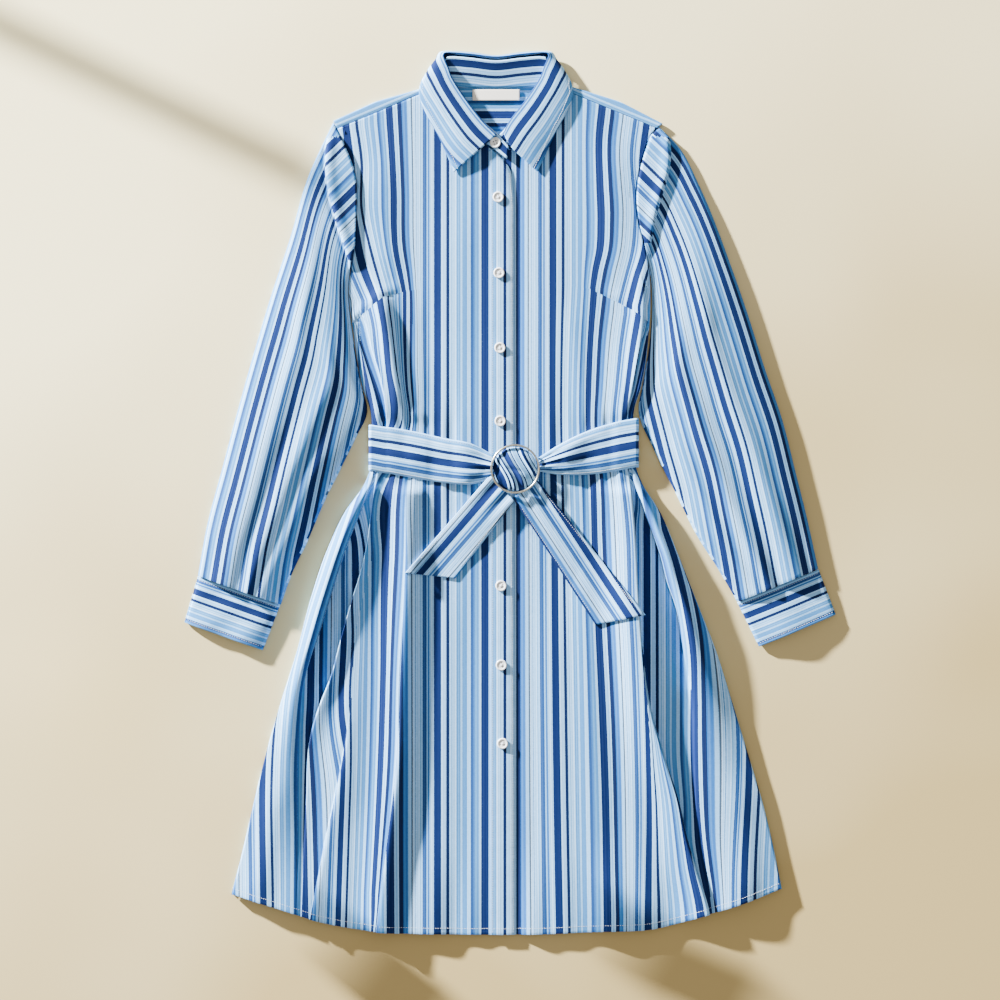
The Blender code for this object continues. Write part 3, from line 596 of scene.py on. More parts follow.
# Stripes above the darts.
RIGHT_BUST = (
    held(-103, (451, -103), (227, -103)),
    held(-123.1, (451, -127.7), (348, -123.1), (279, -121.1), (252, -116.8), (227, -113.9)),
    held(-134.8, (451, -139.8), (348, -133.7), (279, -131.9), (232, -122.1)),
    held(-177.4, (423, -176), (382, -170.2), (324, -170.2), (287, -161.6), (226, -144.6)),
    held(-189.2, (420, -188.6), (354, -180.6), (300, -177.1), (259, -169.6), (220, -153.9)),
)  # fmt: skip
LEFT_BUST = (
    held(80, (451, 80), (227, 80)),
    held(
        103.2, (444, 105.8), (408, 101.7), (359, 102.4), (311, 104.1), (279, 102.6), (256, 97.3),
        (235, 94),
    ),
    held(
        140.3, (430, 144.1), (396, 139.8), (317, 144.1), (279, 140.9), (246, 132.9), (219, 125.7),
    ),
    held(154.7, (426, 156.4), (379, 150.7), (330, 152), (279, 154.1), (246, 143.5), (214, 135.6)),
)  # fmt: skip
RIGHT_DART = ((-200, 176), (-171, 203), (-155, 217), (-146, 224), (-120, 231), (-100, 234))
LEFT_DART = ((70, 238), (91, 234), (110, 225), (124, 218), (143, 208), (157, 197), (170, 186))

# Slight long hollows and swells of both fronts: ends, half width and height.
SWELLS = (
    ((-151, 238), (-126, 88), 13, 7.0), ((153, 282), (147, 100), 11, 3.6),
    ((-60, 330), (-72, 130), 26, 0.7), ((40, 340), (52, 120), 30, 0.8),
    ((-150, 380), (-140, 250), 16, 1.3), ((118, 400), (122, 250), 18, 1.4),
    ((-70, -60), (-84, -480), 20, 1.0), ((46, -120), (56, -490), 22, 1.2),
    ((84, -30), (104, -470), 16, 1.6), ((24, -60), (26, -480), 12, -0.6),
    ((-48, -120), (-52, -500), 14, -0.7), ((128, -60), (150, -480), 14, 1.5),
    ((-176, -300), (-196, -507), 16, 1.4), ((70, 210), (84, 90), 12, 0.9),
    ((-94, 220), (-88, 90), 10, -0.9), ((-268, -330), (-290, -470), 14, 1.6),
    ((262, -330), (276, -470), 16, 1.4), ((-30, 300), (-32, 150), 12, -0.4),
)  # fmt: skip
FOLD_STEP = 0.35 * MM  # half the width of a fold's drop
FRONT_MIDDLE = -9 * MM  # x of the middle of the placket
UNDER_DROP = 1.0 * MM  # the left front lies this much lower, where the right one laps over it

FRONT_TOP = 0.500  # height of the fronts' first row, before it bends to the seam


def front_rows(top, count):
    """Heights of the fronts' rows: as many as count above the waist, and the skirt's below."""
    above, below = np.linspace(top, 0.12, count, endpoint=False), np.linspace(0.12, HEM_END, 190)
    return np.concatenate([above, below])


def straight(table, value):
    """A shoulder line as straight runs, which go on past its ends."""
    rows = np.array(table, float) * MM
    (x0, y0), (x1, y1) = rows[0, [0, value]], rows[-1, [0, value]]
    slope = (y1 - y0) / (x1 - x0)

    def at(x):
        inside = np.interp(x, rows[:, 0], rows[:, value])
        return inside + slope * (np.minimum(x - x0, 0) + np.maximum(x - x1, 0))

    return at


def chart(x, y, tracks):
    """Place across in the cloth from lines of known place, given in the order of their x."""
    first_x, first_place = tracks[0]
    place = first_place(y) + x - first_x(y)
    for (near_x, near_place), (far_x, far_place) in zip(tracks, tracks[1:]):
        start, end = near_x(y), far_x(y)
        share = np.clip((x - start) / np.maximum(end - start, 1e-6), 0, 1)
        between = near_place(y) + share * (far_place(y) - near_place(y))
        place = np.where(x > start, between, place)
    last_x, last_place = tracks[-1]
    return np.where(x > last_x(y), last_place(y) + x - last_x(y), place)


def swell(x, y):
    """Height of the slight folds, and of the gathers beside the belt."""
    rise = 0 * x
    for (x0, y0), (x1, y1), width, height in SWELLS:
        down = (y - y0 * MM) / ((y1 - y0) * MM)
        middle = (x0 + (x1 - x0) * down) * MM
        ends = ramp(-0.15, 0.25, down) * (1 - ramp(0.8, 1.15, down))
        rise = rise + height * MM * ends * bell(x - middle, width * MM)
    near_belt = np.exp(-np.maximum(np.abs(y - 45 * MM) - 32 * MM, 0) / (26 * MM))
    gathers = np.sin(x / (2.3 * MM) + 3 * np.sin(x / (17 * MM))) + np.sin(x / (4.1 * MM) + 2)
    aside = ramp(30 * MM, 60 * MM, np.abs(x - FRONT_MIDDLE))
    hem_waves = 1 + 0.6 * np.sin(x / (19 * MM) + 1.0) + 0.3 * np.sin(x / (8 * MM))
    rise = rise + 2.6 * MM * (ramp(380 * MM, 507 * MM, -y) * hem_waves)
    return rise + 0.42 * MM * near_belt * gathers * aside


def make_front(side, free_edge_table, folds, stripes, rolled, bust, dart, counts, offset):
    """A front from its free edge out to its side fold, bent along the lines of its folds."""
    toward = 1 if side == "left" else -1
    seam = straight(SHOULDERS[side], 1)
    free_edge = column(free_edge_table, 0, 1)
    side_edge = right_edge if side == "left" else left_edge
    folds = [[full_row(*row) for row in fold] for fold in folds]
    fold_lines, near_lines, far_lines = (
        [column(fold, 0, value) for fold in folds] for value in (1, 4, 5)
    )
    guides = [free_edge, *fold_lines, lambda y: side_edge(y) - toward * ROLL]
    last = len(counts) - 1
    segment = np.concatenate([[i] * count for i, count in enumerate(counts)])
    share = np.concatenate([np.linspace(0, 1, count) for count in counts])
    gap = np.where((share == 0) & (segment > 0), FOLD_STEP, 0)
    gap = gap - np.where((share == 1) & (segment < last), FOLD_STEP, 0)

    def beside(lines, y, after=0):
        """Of each column, the value of the line before it, or of the one after it."""
        values = np.array([line(y) for line in lines])
        return values[segment + after, :, np.arange(len(segment))].T

    def across(y):
        near = beside(guides, y)
        return near + share * (beside(guides, y, 1) - near) + toward * gap

    x, y = lay_rows(front_rows(FRONT_TOP, 140), len(segment), seam, across)
    out = toward * x
    start, end = toward * beside(guides, y), toward * beside(guides, y, 1)
    near = beside([*near_lines, np.zeros_like], y)
    far = beside([np.zeros_like, *far_lines], y)
    blend = ramp(0, 1, share)
    reach = (30 if side == "left" else 22) * MM
    rise = far * (1 - blend) * bell(out - start, 22 * MM)
    rise = rise + near * blend * bell(end - out, reach)
    puff = far * (1 + 1.3 * np.sin(np.pi * share ** 0.8)) * (1 - 0.35 * share ** 3)
    rise = np.where(segment == last, puff, rise)
    pressed = 1 - 0.8 * ramp(-2 * MM, 12 * MM, y) * (1 - ramp(76 * MM, 94 * MM, y))
    from_middle = np.abs(x - FRONT_MIDDLE)
    top = BODY + front_lift(y) + rise * pressed * ramp(24 * MM, 60 * MM, from_middle)
    top = top + swell(x, y) * ramp(16 * MM, 44 * MM, from_middle)
    above_dart = y - np.interp(x, *(np.array(dart, float).T * MM))
    dart_from, dart_full = (92, 125) if side == "left" else (118, 135)
    dart_reach = ramp(dart_from * MM, dart_full * MM, out)
    groove = bell(above_dart, 1.3 * MM)
    pucker = bell(above_dart - 7 * MM, 7 * MM)
    top = top + dart_reach * (0.8 * MM * pucker - 0.9 * MM * groove)
    if side == "left":
        top = top - (1 - ramp(8 * MM, 20 * MM, out)) * UNDER_DROP

    def track(table, value=2, shift=0.0):
        """Where a line runs, and the place of its stripe in the uncut cloth."""
        line, cloth = column(table, 0, 1), column(table, 0, value)
        return (lambda y: toward * line(y) + shift), (lambda y: toward * cloth(y))

    step = FOLD_STEP * 0.9
    creases = [[track(fold, 2, -step), track(fold, 3, step)] for fold in folds]
    stacked = [track(stripe) for stripe in stripes]
    if side == "left":
        tracks = stacked + creases[0] + creases[1]
    else:
        tracks = [stacked[0], *creases[0], *stacked[1:], *creases[1], *creases[2], *creases[3]]
    tracks += [track(stripe) for stripe in rolled]
    below, above = tracks, [track(stripe) for stripe in bust]
    places, upper_places = (
        together(toward * chart(out, y, lines) + offset, y) for lines in (below, above)
    )
    points = together(x, y, top)
    edge_y = y[:, -1]
    folded = side_folded(ARMPITS[toward], edge_y)
    middle = (1 - folded) * (top[:, -1] - 1.4 * MM)
    middle = middle + folded * (belt_lift(edge_y) + ROLL + 0.3 * MM)
    if toward < 0:
        points, places, upper_places, above_dart = (
            grid[:, ::-1] for grid in (points, places, upper_places, above_dart)
        )
    round_edge = toward, EDGE_COLUMNS, middle, ROLL + 0 * edge_y
    _, upper_places = turn_edge(points, upper_places, *round_edge)
    points, places = turn_edge(points, places, *round_edge)
    outermost = np.repeat(above_dart[:, [0 if toward < 0 else -1]], EDGE_COLUMNS, axis=1)
    sides = (outermost, above_dart) if toward < 0 else (above_dart, outermost)
    beyond = upper_places, np.hstack(sides)
    return cut_cloth(f"front_{side}_cloth", points, places, BACKED_WALL, (0, 0, 1), beyond)


front_right = make_front(
    "right", RIGHT_FRONT_EDGE, RIGHT_FOLDS, RIGHT_STRIPES, RIGHT_ROLLED, RIGHT_BUST, RIGHT_DART,
    (40, 16, 20, 14, 26), 0.0,
)
front_left = make_front(
    "left", LEFT_FRONT_EDGE, LEFT_FOLDS, LEFT_STRIPES, LEFT_ROLLED, LEFT_BUST, LEFT_DART,
    (68, 14, 30), WIDE_BLUE - 49 * MM,
)
fit(front_right, "front_right")
fit(front_left, "front_left")

# ---------------------------------------------------------------------------------------------
# The yoke, between the back and the shoulder seams. It lies flat under the neck, where its inner
# side shows with its stripes level, and a wing turns over each shoulder onto the front.

NECK_LINE = 466.5 * MM
YOKE_SLACK = 0.15 * MM  # gap between the yoke and the back
WING, NECK = 40, 44  # columns of each wing and of the neck between them
FLAT_ROWS, ROUND_ROWS, FLOOR_ROWS = 12, 13, 39  # rows on the fronts, round the fold and below
NECK_SIDES = (-92 * MM, 62 * MM)


def make_yoke():
    count = 2 * WING + NECK
    steps = np.arange(count)
    in_wing = (steps < WING) | (steps >= count - WING)
    flat = np.linspace(0, 1, FLAT_ROWS)
    angles = np.linspace(0, 1, ROUND_ROWS + 1)[1:] * np.pi
    down = np.linspace(0, 1, FLOOR_ROWS + 1)[1:]
    total = FLAT_ROWS + ROUND_ROWS + FLOOR_ROWS

    def of_shoulder(x, value):
        sides = [straight(SHOULDERS[side], value)(x) for side in ("right", "left")]
        return np.where(steps < count / 2, *sides)

    def across(y):
        from_right, from_left = (
            np.minimum(step / (WING - 1), 1) for step in (steps, count - 1 - steps)
        )
        right = left_edge(y) + from_right * (NECK_SIDES[0] - left_edge(y))
        left = right_edge(y) + from_left * (NECK_SIDES[1] - right_edge(y))
        middle = NECK_SIDES[0] + (steps - WING + 1) / (NECK + 1) * 154 * MM
        return np.where(steps < WING, right, np.where(steps >= count - WING, left, middle))

    points, place = [], []
    for row in range(total):
        x = across(np.full(count, 0.425))  # a first guess, near the shoulders
        for _ in range(14):
            seam = of_shoulder(x, 1) + 0.3 * MM
            border = of_shoulder(x, 2) - ROLL
            top_line = np.where(in_wing, border, NECK_LINE)
            if row < FLAT_ROWS:
                y = np.where(in_wing, seam + (border - seam) * flat[row], NECK_LINE)
                height = BODY - 0.7 * MM * (1 - flat[row]) ** 4 + 0 * x
            elif row < FLAT_ROWS + ROUND_ROWS:
                angle = angles[row - FLAT_ROWS]
                y = np.where(in_wing, border + ROLL * np.sin(angle), NECK_LINE)
                height = ROLL * (1 + np.cos(angle)) + 0 * x
            else:
                floor_share = down[row - FLAT_ROWS - ROUND_ROWS]
                y = top_line + floor_share * (YOKE_LINE + YOKE_SLACK - top_line)
                height = 0 * x
            x = across(y)
        level = WIDE_BLUE + 54.3 * MM + (434.6 * MM - y)
        over = WIDE_BLUE + 23 * MM + np.where(in_wing, y - seam, 0) * 0.9
        on_front = in_wing & (row < FLAT_ROWS + ROUND_ROWS - 6)
        place.append(together(np.where(on_front, over, level), x))
        points.append(together(x, y, height))
    keep = np.repeat(in_wing[None, :-1] & in_wing[None, 1:], total - 1, axis=0)
    keep[FLAT_ROWS + ROUND_ROWS - 1 :] = True
    grids = np.array(points), np.array(place)
    return cut_cloth("yoke_cloth", *grids, BACKED_WALL, (0, 0, -1), keep=keep)


yoke = make_yoke()
fit(yoke, "yoke")

# ---------------------------------------------------------------------------------------------
# The placket. A doubled band along the edge of the right front, its two edges stitched. It
# follows the edge up to the collar, and its own edges are turned down.

right_free_edge = column(RIGHT_FRONT_EDGE, 0, 1)


def make_placket():
    rows = np.concatenate([[FRONT_TOP], front_rows(0.398, 110)])
    inside = [0.03, 0.07, 0.1, 0.2, 0.32, 0.44, 0.56, 0.68, 0.8, 0.9, 0.94, 0.98]
    shares = np.array([0, 0, *inside, 1, 1])

    def across(y):
        free = right_free_edge(y)
        stitched = np.minimum(-22 * MM, free - 4 * MM)
        return free + shares * (stitched - free)

    x, y = lay_rows(rows, len(shares), straight(SHOULDERS["right"], 1), across)
    x, y = x[1:], y[1:]  # the first row only sets how far the others bend
    ripple = 0.10 * MM * np.sin(y / (5.1 * MM) + 2 * np.sin(y / (31 * MM)))
    top = BODY + front_lift(y) + 1.2 * MM + ripple * np.sin(np.pi * shares)
    seams = bell(shares - 0.08, 0.03) + bell(shares - 0.92, 0.03)
    top = top - 0.30 * MM * seams
    top = top - 1.1 * MM * bell(shares, 0.09)
    top[:, 0] -= 0.4 * MM
    top[:, -1] -= 0.75 * MM
    across_band = WIDE_BLUE + 11.8 * MM - (x + 5.75 * MM)
    place = together(np.maximum(across_band, WIDE_BLUE + 4.6 * MM), y)
    points = together(x, y, top)
    return cut_cloth("placket_cloth", points, place, BACKED_WALL, (0, 0, 1))


placket = make_placket()
fit(placket, "placket")

# ---------------------------------------------------------------------------------------------
# The sleeves. Each is one tube, flat along its folded edges and puffed between them. Its head
# is turned over the armhole, where a strip with slanting stripes stands up beside it.

RIGHT_SLEEVE = (
    (
        (-205, 425), (-233, 360), (-252, 293), (-273, 229), (-292, 166),
        (-312, 95), (-331, 24), (-347, -36), (-358, -95.5),
    ),
    (
        (-180, 284), (-187, 237), (-181.2, 178), (-172, 125), (-165, 92),
        (-178, 63), (-193, 32), (-213, -8), (-233, -55), (-252, -95),
        (-264, -128.5),
    ),
)  # fmt: skip
LEFT_SLEEVE = (
    (
        (181.5, 420), (200, 398), (221, 352), (253, 265), (273, 206),
        (293, 142), (313, 83), (328, 24), (340, -24), (354, -87.5),
    ),
    (
        (158.5, 274), (163.2, 237), (161.3, 178), (153, 125), (147.8, 96),
        (166, 48), (190, 0), (214, -48), (241, -91), (261, -125.5),
    ),
)  # fmt: skip
RIGHT_HEAD = ((406, -210), (383, -212), (354, -210), (320, -202), (285, -191), (266, -185))
LEFT_HEAD = ((410, 183), (389, 185), (365, 182), (341, 175), (309, 166), (286, 162))

# Long slack folds of the sleeves: share across and along at both ends, half width, height.
RIGHT_SLACK = (
    ((0.30, 0.10), (0.34, 0.95), 12, 2.8), ((0.66, 0.28), (0.60, 0.98), 10, 2.6),
    ((0.48, 0.50), (0.50, 1.0), 7, -1.2), ((0.82, 0.55), (0.80, 1.0), 7, 1.4),
)  # fmt: skip
LEFT_SLACK = (
    ((0.34, 0.12), (0.30, 0.95), 12, 2.8), ((0.62, 0.25), (0.64, 0.97), 10, 2.6),
    ((0.47, 0.45), (0.47, 1.0), 7, -1.3), ((0.84, 0.50), (0.82, 1.0), 7, 1.2),
)  # fmt: skip
PUFF = 9.5 * MM  # rise of a sleeve's middle
SLEEVE_LENGTH = 0.55
SLEEVE_NARROWING = 0.86  # width of the stripes on the sleeves, as a share of the cloth's


def ring_of(columns):
    """Points round a flat tube: share across, share of half its height, 1 above and -1 below."""
    shares = np.linspace(0, 1, columns)
    upper = [(0.0, t, 1) for t in (0.0, 0.25, 0.5, 0.75)] + [(u, 1.0, 1) for u in shares]
    upper += [(1.0, t, 1) for t in (0.75, 0.5, 0.25, 0.0)]
    lower = [(u, t, -1) for u, t, _ in upper[-2::-1]]
    return np.array(upper + lower)


def make_sleeve(name, edges, toward, head, slack, blue_at, strip_place):
    outer, inner = (path(np.array(edge) * MM) for edge in edges)
    side_edge = right_edge if toward > 0 else left_edge
    start, end = outer(np.zeros(1))[0], inner(np.zeros(1))[0]
    ring = ring_of(54)
    u, turn, side = ring.T
    v = np.linspace(0, 1, 165)[:, None] ** 1.35

    def plan(u, v):
        u, v = np.broadcast_arrays(u, v)
        point = (1 - u)[..., None] * outer(v) + u[..., None] * inner(v)
        chord = (1 - u)[..., None] * start + u[..., None] * end
        seam = side_edge(chord[..., 1]) + toward * 0.4 * MM
        point = point.copy()
        point[..., 0] += (seam - chord[..., 0]) * (1 - v) ** 7
        return point

    point = plan(u, v)
    to_centre = plan(np.full_like(u, 0.5), v) - point
    width = np.linalg.norm(plan(1.0, v) - plan(0.0, v), axis=-1)
    bend = np.sin(turn * np.pi / 2)
    inward = to_centre / np.maximum(np.linalg.norm(to_centre, axis=-1), 1e-6)[..., None]
    at_edge = ((turn < 1) | np.isin(u, (0, 1)))[None, :, None]
    point = np.where(at_edge, point + inward * (ROLL * bend)[None, :, None], point)
    x, y = point[..., 0], point[..., 1]
    puff = PUFF * np.sin(np.pi * np.clip(u, 0, 1)) ** 0.5
    puff = puff * ramp(0.0, 0.4, v) * (1 - 0.25 * ramp(0.8, 1.0, v))
    if toward > 0:
        puff = puff * (1 - 0.9 * ramp(0.5, 1.0, u) * (1 - ramp(0.35, 0.65, v)))
    folds = 0 * x
    for (u0, v0), (u1, v1), half, height in slack:
        down = (v - v0) / (v1 - v0)
        middle = u0 + (u1 - u0) * down
        ends = ramp(0, 0.3, down) * (1 - ramp(0.9, 1.3, down))
        folds = folds + height * MM * ends * bell((u - middle) * width, half * MM)
    gathers = 0.5 * MM * np.sin(u * 26 + 2 * np.sin(u * 9)) * ramp(0.88, 1.0, v)
    head_line = column(head, 0, 1)
    strip = toward * (head_line(y) - x)
    strip_end = head[-1][0] * MM
    below_shoulder = 1 - ramp(395 * MM, 420 * MM, y)
    in_strip = ramp(-0.2 * MM, 1.2 * MM, strip) * ramp(strip_end - 22 * MM, strip_end + 8 * MM, y)
    in_strip = in_strip * below_shoulder
    ridge = in_strip * (2.6 * MM + 1.4 * MM * bell(strip - 5 * MM, 6 * MM))
    valley = -0.8 * MM * bell(strip + 2.5 * MM, 2.5 * MM)
    valley = valley * ramp(255 * MM, 290 * MM, y) * below_shoulder
    seam_drop = 1.0 * MM * (1 - ramp(0, 0.004, v)) + 0 * x
    rise = (puff + folds + gathers + ridge + valley - seam_drop) * (turn ** 2)
    above = side > 0
    z = ROLL + side * ROLL * bend + np.where(above, rise, 0.75 * MM * (1 - ramp(0, 0.02, v)))
    turned_round = np.where(above, u * width, 2 * width - u * width)
    stripe = WIDE_BLUE + (turned_round - blue_at) / SLEEVE_NARROWING
    place = together(stripe if toward < 0 else 2 * WIDE_BLUE - stripe, v * SLEEVE_LENGTH + 0 * x)
    slanting = (x - y if toward < 0 else x + y) / math.sqrt(2)
    along_strip = (x + y if toward < 0 else y - x) / 1.414
    strip_places = together(slanting - strip_place + WIDE_BLUE, along_strip)
    distance = np.where(above & (y < 408 * MM), np.minimum(strip, y - strip_end), -0.01)
    points = together(x, y, z)
    return cut_cloth(name, points, place, BACKED_WALL, (0, 0, 1), (strip_places, distance))


sleeve_right = make_sleeve(
    "sleeve_right_cloth", RIGHT_SLEEVE, -1, RIGHT_HEAD, RIGHT_SLACK, 64 * MM, -426.8 * MM
)
sleeve_left = make_sleeve(
    "sleeve_left_cloth", LEFT_SLEEVE, 1, LEFT_HEAD, LEFT_SLACK, 63 * MM, 364.3 * MM
)
fit(sleeve_right, "sleeve_right")
fit(sleeve_left, "sleeve_left")

# ---------------------------------------------------------------------------------------------
# The cuffs. Flat tubes of doubled cloth with the stripes running round the wrist, each a little
# apart from the end of its sleeve. Their corners are the outer and inner ones at the sleeve,
# then those at the hand.

RIGHT_CUFF = ((-358.5, -96.2), (-264, -129.2), (-374, -149), (-284, -181))
LEFT_CUFF = ((354.5, -88.2), (261, -126.2), (374.2, -140), (286, -177))
CUFF_WALL = 1.3 * MM
CUFF_HEIGHT = 8.6 * MM
CUFF_LENGTH = 54 * MM


def make_cuff(name, corners, lean):
    sleeve_outer, sleeve_inner, hand_outer, hand_inner = np.array(corners) * MM
    u, turn, side = ring_of(44).T
    v = np.linspace(0, 1, 34)[:, None]
    outer = (1 - v) * sleeve_outer + v * hand_outer
    inner = (1 - v) * sleeve_inner + v * hand_inner
    width = np.linalg.norm(inner - outer, axis=1)[:, None]
    bend = np.sin(turn * np.pi / 2)
    inset = ((inner - outer) / width)[:, None] * (3.2 * MM * bend)[None, :, None]
    first, final = outer[:, None] + inset, inner[:, None] - inset
    point = first + u[None, :, None] * (final - first)
    middle = 0.5 * BODY + 0.45 * MM
    crown = np.sin(np.pi * u) ** 0.7 * (0.75 + 0.25 * np.cos(6 * u + lean))
    half = (middle + (CUFF_HEIGHT - BODY) * crown * 0.5 * (0.75 + 0.25 * v)) * bend
    dimple = 0.35 * MM * np.sin(13 * u + 5 * v) * (turn ** 2)
    seam = 0.4 * MM * (bell(v - 0.06, 0.03) + bell(v - 0.94, 0.03))
    above = side > 0
    lift = (half - middle * bend) * above
    z = middle + side * middle * bend + 2 * lift + np.where(above, dimple - seam * turn, 0)
    from_sleeve = v * CUFF_LENGTH + 0 * u
    round_wrist = np.where(above, u * width, 2 * width - u * width)
    place = together(WIDE_BLUE + (from_sleeve - 17 * MM) * 1.2, round_wrist)
    points = np.concatenate([point, z[..., None]], axis=-1)
    return cut_cloth(name, points, place, CUFF_WALL, (0, 0, 1))


cuff_right = make_cuff("cuff_right_cloth", RIGHT_CUFF, 0.6)
cuff_left = make_cuff("cuff_left_cloth", LEFT_CUFF, 2.4)
fit(cuff_right, "cuff_right")
fit(cuff_left, "cuff_left")

# ---------------------------------------------------------------------------------------------
# The collar. Its stand stands up round the neck and its fall rolls over it, with two long
# points on the fronts. Both are doubled cloth with a stiff layer between.

CENTRE = -16.0  # middle of the collar, in millimetres
FALL = (
    ((-15, 410, 9.2), (-33, 394.5, 9.4), (-48, 381.5, 8.4), (-64, 367.5, 6.6)),
    ((-32, 427, 9.4), (-47, 411, 10), (-61, 397, 8.8), (-72.5, 387, 6.6)),
    ((-52, 453, 9.5), (-63, 438, 10.2), (-74, 423, 9), (-83, 410, 6.8)),
    ((-66, 475, 10), (-77, 460, 10.6), (-87, 445, 9.2), (-95, 432, 7)),
    ((-70.5, 487, 10.2), (-83, 476, 10.4), (-95, 464, 9), (-104, 454, 7)),
    ((-74.5, 496, 10.2), (-86, 488, 9.2), (-96, 479, 7.6), (-102.5, 470, 6.2)),
    ((-76, 502, 10), (-84, 498.5, 6.6), (-91, 490, 3.6), (-96, 479, 1.6)),
    ((-70, 504.5, 9.8), (-77, 506.5, 5), (-80, 495, 0.4), (-85, 470, 0)),
    ((-45, 502.5, 9.4), (-45, 505.5, 4.8), (-46, 497, 0.2), (-50, 467, 0)),
    ((CENTRE, 499.5, 9.2), (CENTRE, 502, 4.6), (CENTRE, 494, 0.2), (CENTRE, 467, 0)),
)
LEFT_LEAF_END = ((-8, 412, 9.2), (2, 395, 9.4), (16.5, 381.5, 8.4), (31.5, 368, 6.6))
STAND = (
    ((-3.5, 382.5, 7.4), (-1.5, 397, 7.4)), ((-24, 398.5, 6.4), (-14, 411, 7.2)),
    ((-49, 415, 5.8), (-33, 428.5, 6.8)), ((-73, 439, 5.8), (-53, 454.5, 7.3)),
    ((-86, 455, 5.8), (-66.5, 475.5, 7.9)), ((-86, 468, 4), (-73.5, 495.5, 8)),
    ((-72, 466, 1.8), (-68, 500, 7.7)), ((-45, 465.5, 1.6), (-45, 498.5, 7.4)),
    ((CENTRE, 465.2, 1.6), (CENTRE, 495.5, 7.2)),
)  # fmt: skip
LEFT_STAND_ENDS = (
    ((1, 402, 5.0), (-7.5, 415.5, 5.2)),
    ((-16, 391.5, 4.2), (-19.5, 404.5, 4.2)),
)
COLLAR_WALL = 1.2 * MM


def whole(half, other_ends):
    """All sections: one half, its mirror image, and the other end in place of its own."""
    other = [tuple((2 * CENTRE - x, y, z) for x, y, z in section) for section in half[-2::-1]]
    return list(half) + other[: -len(other_ends)] + list(other_ends)


def collar_grid(sections, columns, rows):
    """A smooth grid through sections, and the distance along each from its first edge."""
    down = np.linspace(0, 1, rows)
    lines = np.array([path(np.array(section) * MM)(down) for section in sections])
    marks = np.linspace(0, 1, len(sections))
    flat = curve_through(marks, lines.reshape(len(sections), -1))(np.linspace(0, 1, columns))
    grid = flat.reshape(columns, rows, 3)
    grid[..., 2] = np.maximum(grid[..., 2], 0)
    steps = np.linalg.norm(np.diff(grid, axis=1), axis=-1)
    from_first = np.concatenate([np.zeros((columns, 1)), np.cumsum(steps, axis=1)], axis=1)
    middle = grid[:, rows // 2]
    along = np.concatenate([[0], np.cumsum(np.linalg.norm(np.diff(middle, axis=0), axis=-1))])
    return grid, from_first, np.repeat(along[:, None], rows, axis=1)


def make_collar_piece(name, sections, columns, rows, blue_at, lower):
    grid, from_first, along = collar_grid(sections, columns, rows)
    grid[..., 2] += 0.25 * MM * np.sin(along / (19 * MM)) * np.sin(np.pi * np.linspace(0, 1, rows))
    if lower:
        from_first = from_first[:, -1:] - from_first
    place = together(WIDE_BLUE + from_first - blue_at, along)
    return cut_cloth(name, grid, place, COLLAR_WALL, (0, 0, 1))


collar_stand = make_collar_piece(
    "collar_stand_cloth", whole(STAND, LEFT_STAND_ENDS), 150, 16, 7 * MM, True
)
collar_fall = make_collar_piece(
    "collar_fall_cloth", whole(FALL, [LEFT_LEAF_END]), 200, 30, 14 * MM, False
)
fit(collar_stand, "collar_stand")
fit(collar_fall, "collar_fall")

# ---------------------------------------------------------------------------------------------
# The label under the stand: a bare strip of woven tape that lies on the yoke and bows up a little
# between its ends.


def make_tape():
    base = (0.72, 0.68, 0.60, 1.0)
    material, tree, shader = new_material("bare label tape", Roughness=0.7, Base_Color=base)
    inputs = {"Vector": world_place(tree), "Scale": 900.0}
    ribs = add_node(tree, "ShaderNodeTexWave", inputs, bands_direction="Y")
    emboss(tree, shader, ribs.outputs["Fac"], 0.3)
    return material


label_x, label_y = np.meshgrid(np.linspace(-43, 11, 40) * MM, np.linspace(463, 450.5, 12) * MM)
label_z = 2.5 * MM + 0.25 * MM * np.sin((label_x + 0.043) / 0.054 * np.pi)
label_points = together(label_x, label_y, label_z)
label = cut_cloth("neck_label_tape", label_points, label_points[..., :2], 0.5 * MM, (0, 0, 1))
label.data.materials[0] = make_tape()
declare(label, "neck_label")

# ---------------------------------------------------------------------------------------------
# The belt. A doubled band off the ring, round both sides and under the back, with two free
# ends below the ring and a gathered knot inside it.

BELT_WALL = 1.1 * MM
BELT_RIGHT = (
    (-19, 43, 16), (-43, 55.5, 9.5), (-74, 62, 11), (-110, 70, 16.5), (-140, 75, 22),
)  # fmt: skip
BELT_LEFT = ((33, 40, 24), (55, 54, 20.5), (76, 65, 20), (100, 74.5, 21.5), (126, 82, 25.5))
BELT_SIDES = ((-162.2, 77.5, 25), (147.8, 85, 29))
RIGHT_TAIL = ((-23, 20), (5, -10), (-120, -92), (-63, -98.5))
LEFT_TAIL = ((3, -6), (31.5, 14), (98, -152), (155, -140))


def resting_on(below, reach):
    """Height of the highest of the pieces within reach of a place."""
    graph = bpy.context.evaluated_depsgraph_get()
    trees = [BVHTree.FromObject(piece, graph) for piece in below]
    down = Vector((0, 0, -1))
    steps = [(dx, dy) for dx in (-reach, 0, reach) for dy in (-reach, 0, reach)]

    def height(x, y):
        found = []
        for place_x, place_y in zip(np.ravel(x), np.ravel(y)):
            starts = [Vector((place_x + dx, place_y + dy, 0.1)) for dx, dy in steps]
            hits = [tree.ray_cast(start, down)[0] for start in starts for tree in trees]
            found.append(max((hit.z for hit in hits if hit), default=0.0))
        return np.reshape(found, np.shape(x))

    return height


def smoothed(height, times):
    """The grid of heights with its dips filled and its edges eased."""
    for _ in range(times):
        padded = np.pad(height, 1, mode="edge")
        near = padded[:-2, 1:-1] + padded[2:, 1:-1] + padded[1:-1, :-2] + padded[1:-1, 2:]
        height = np.maximum(height * 0.5 + near * 0.125, height - 0.02 * MM)
    return height


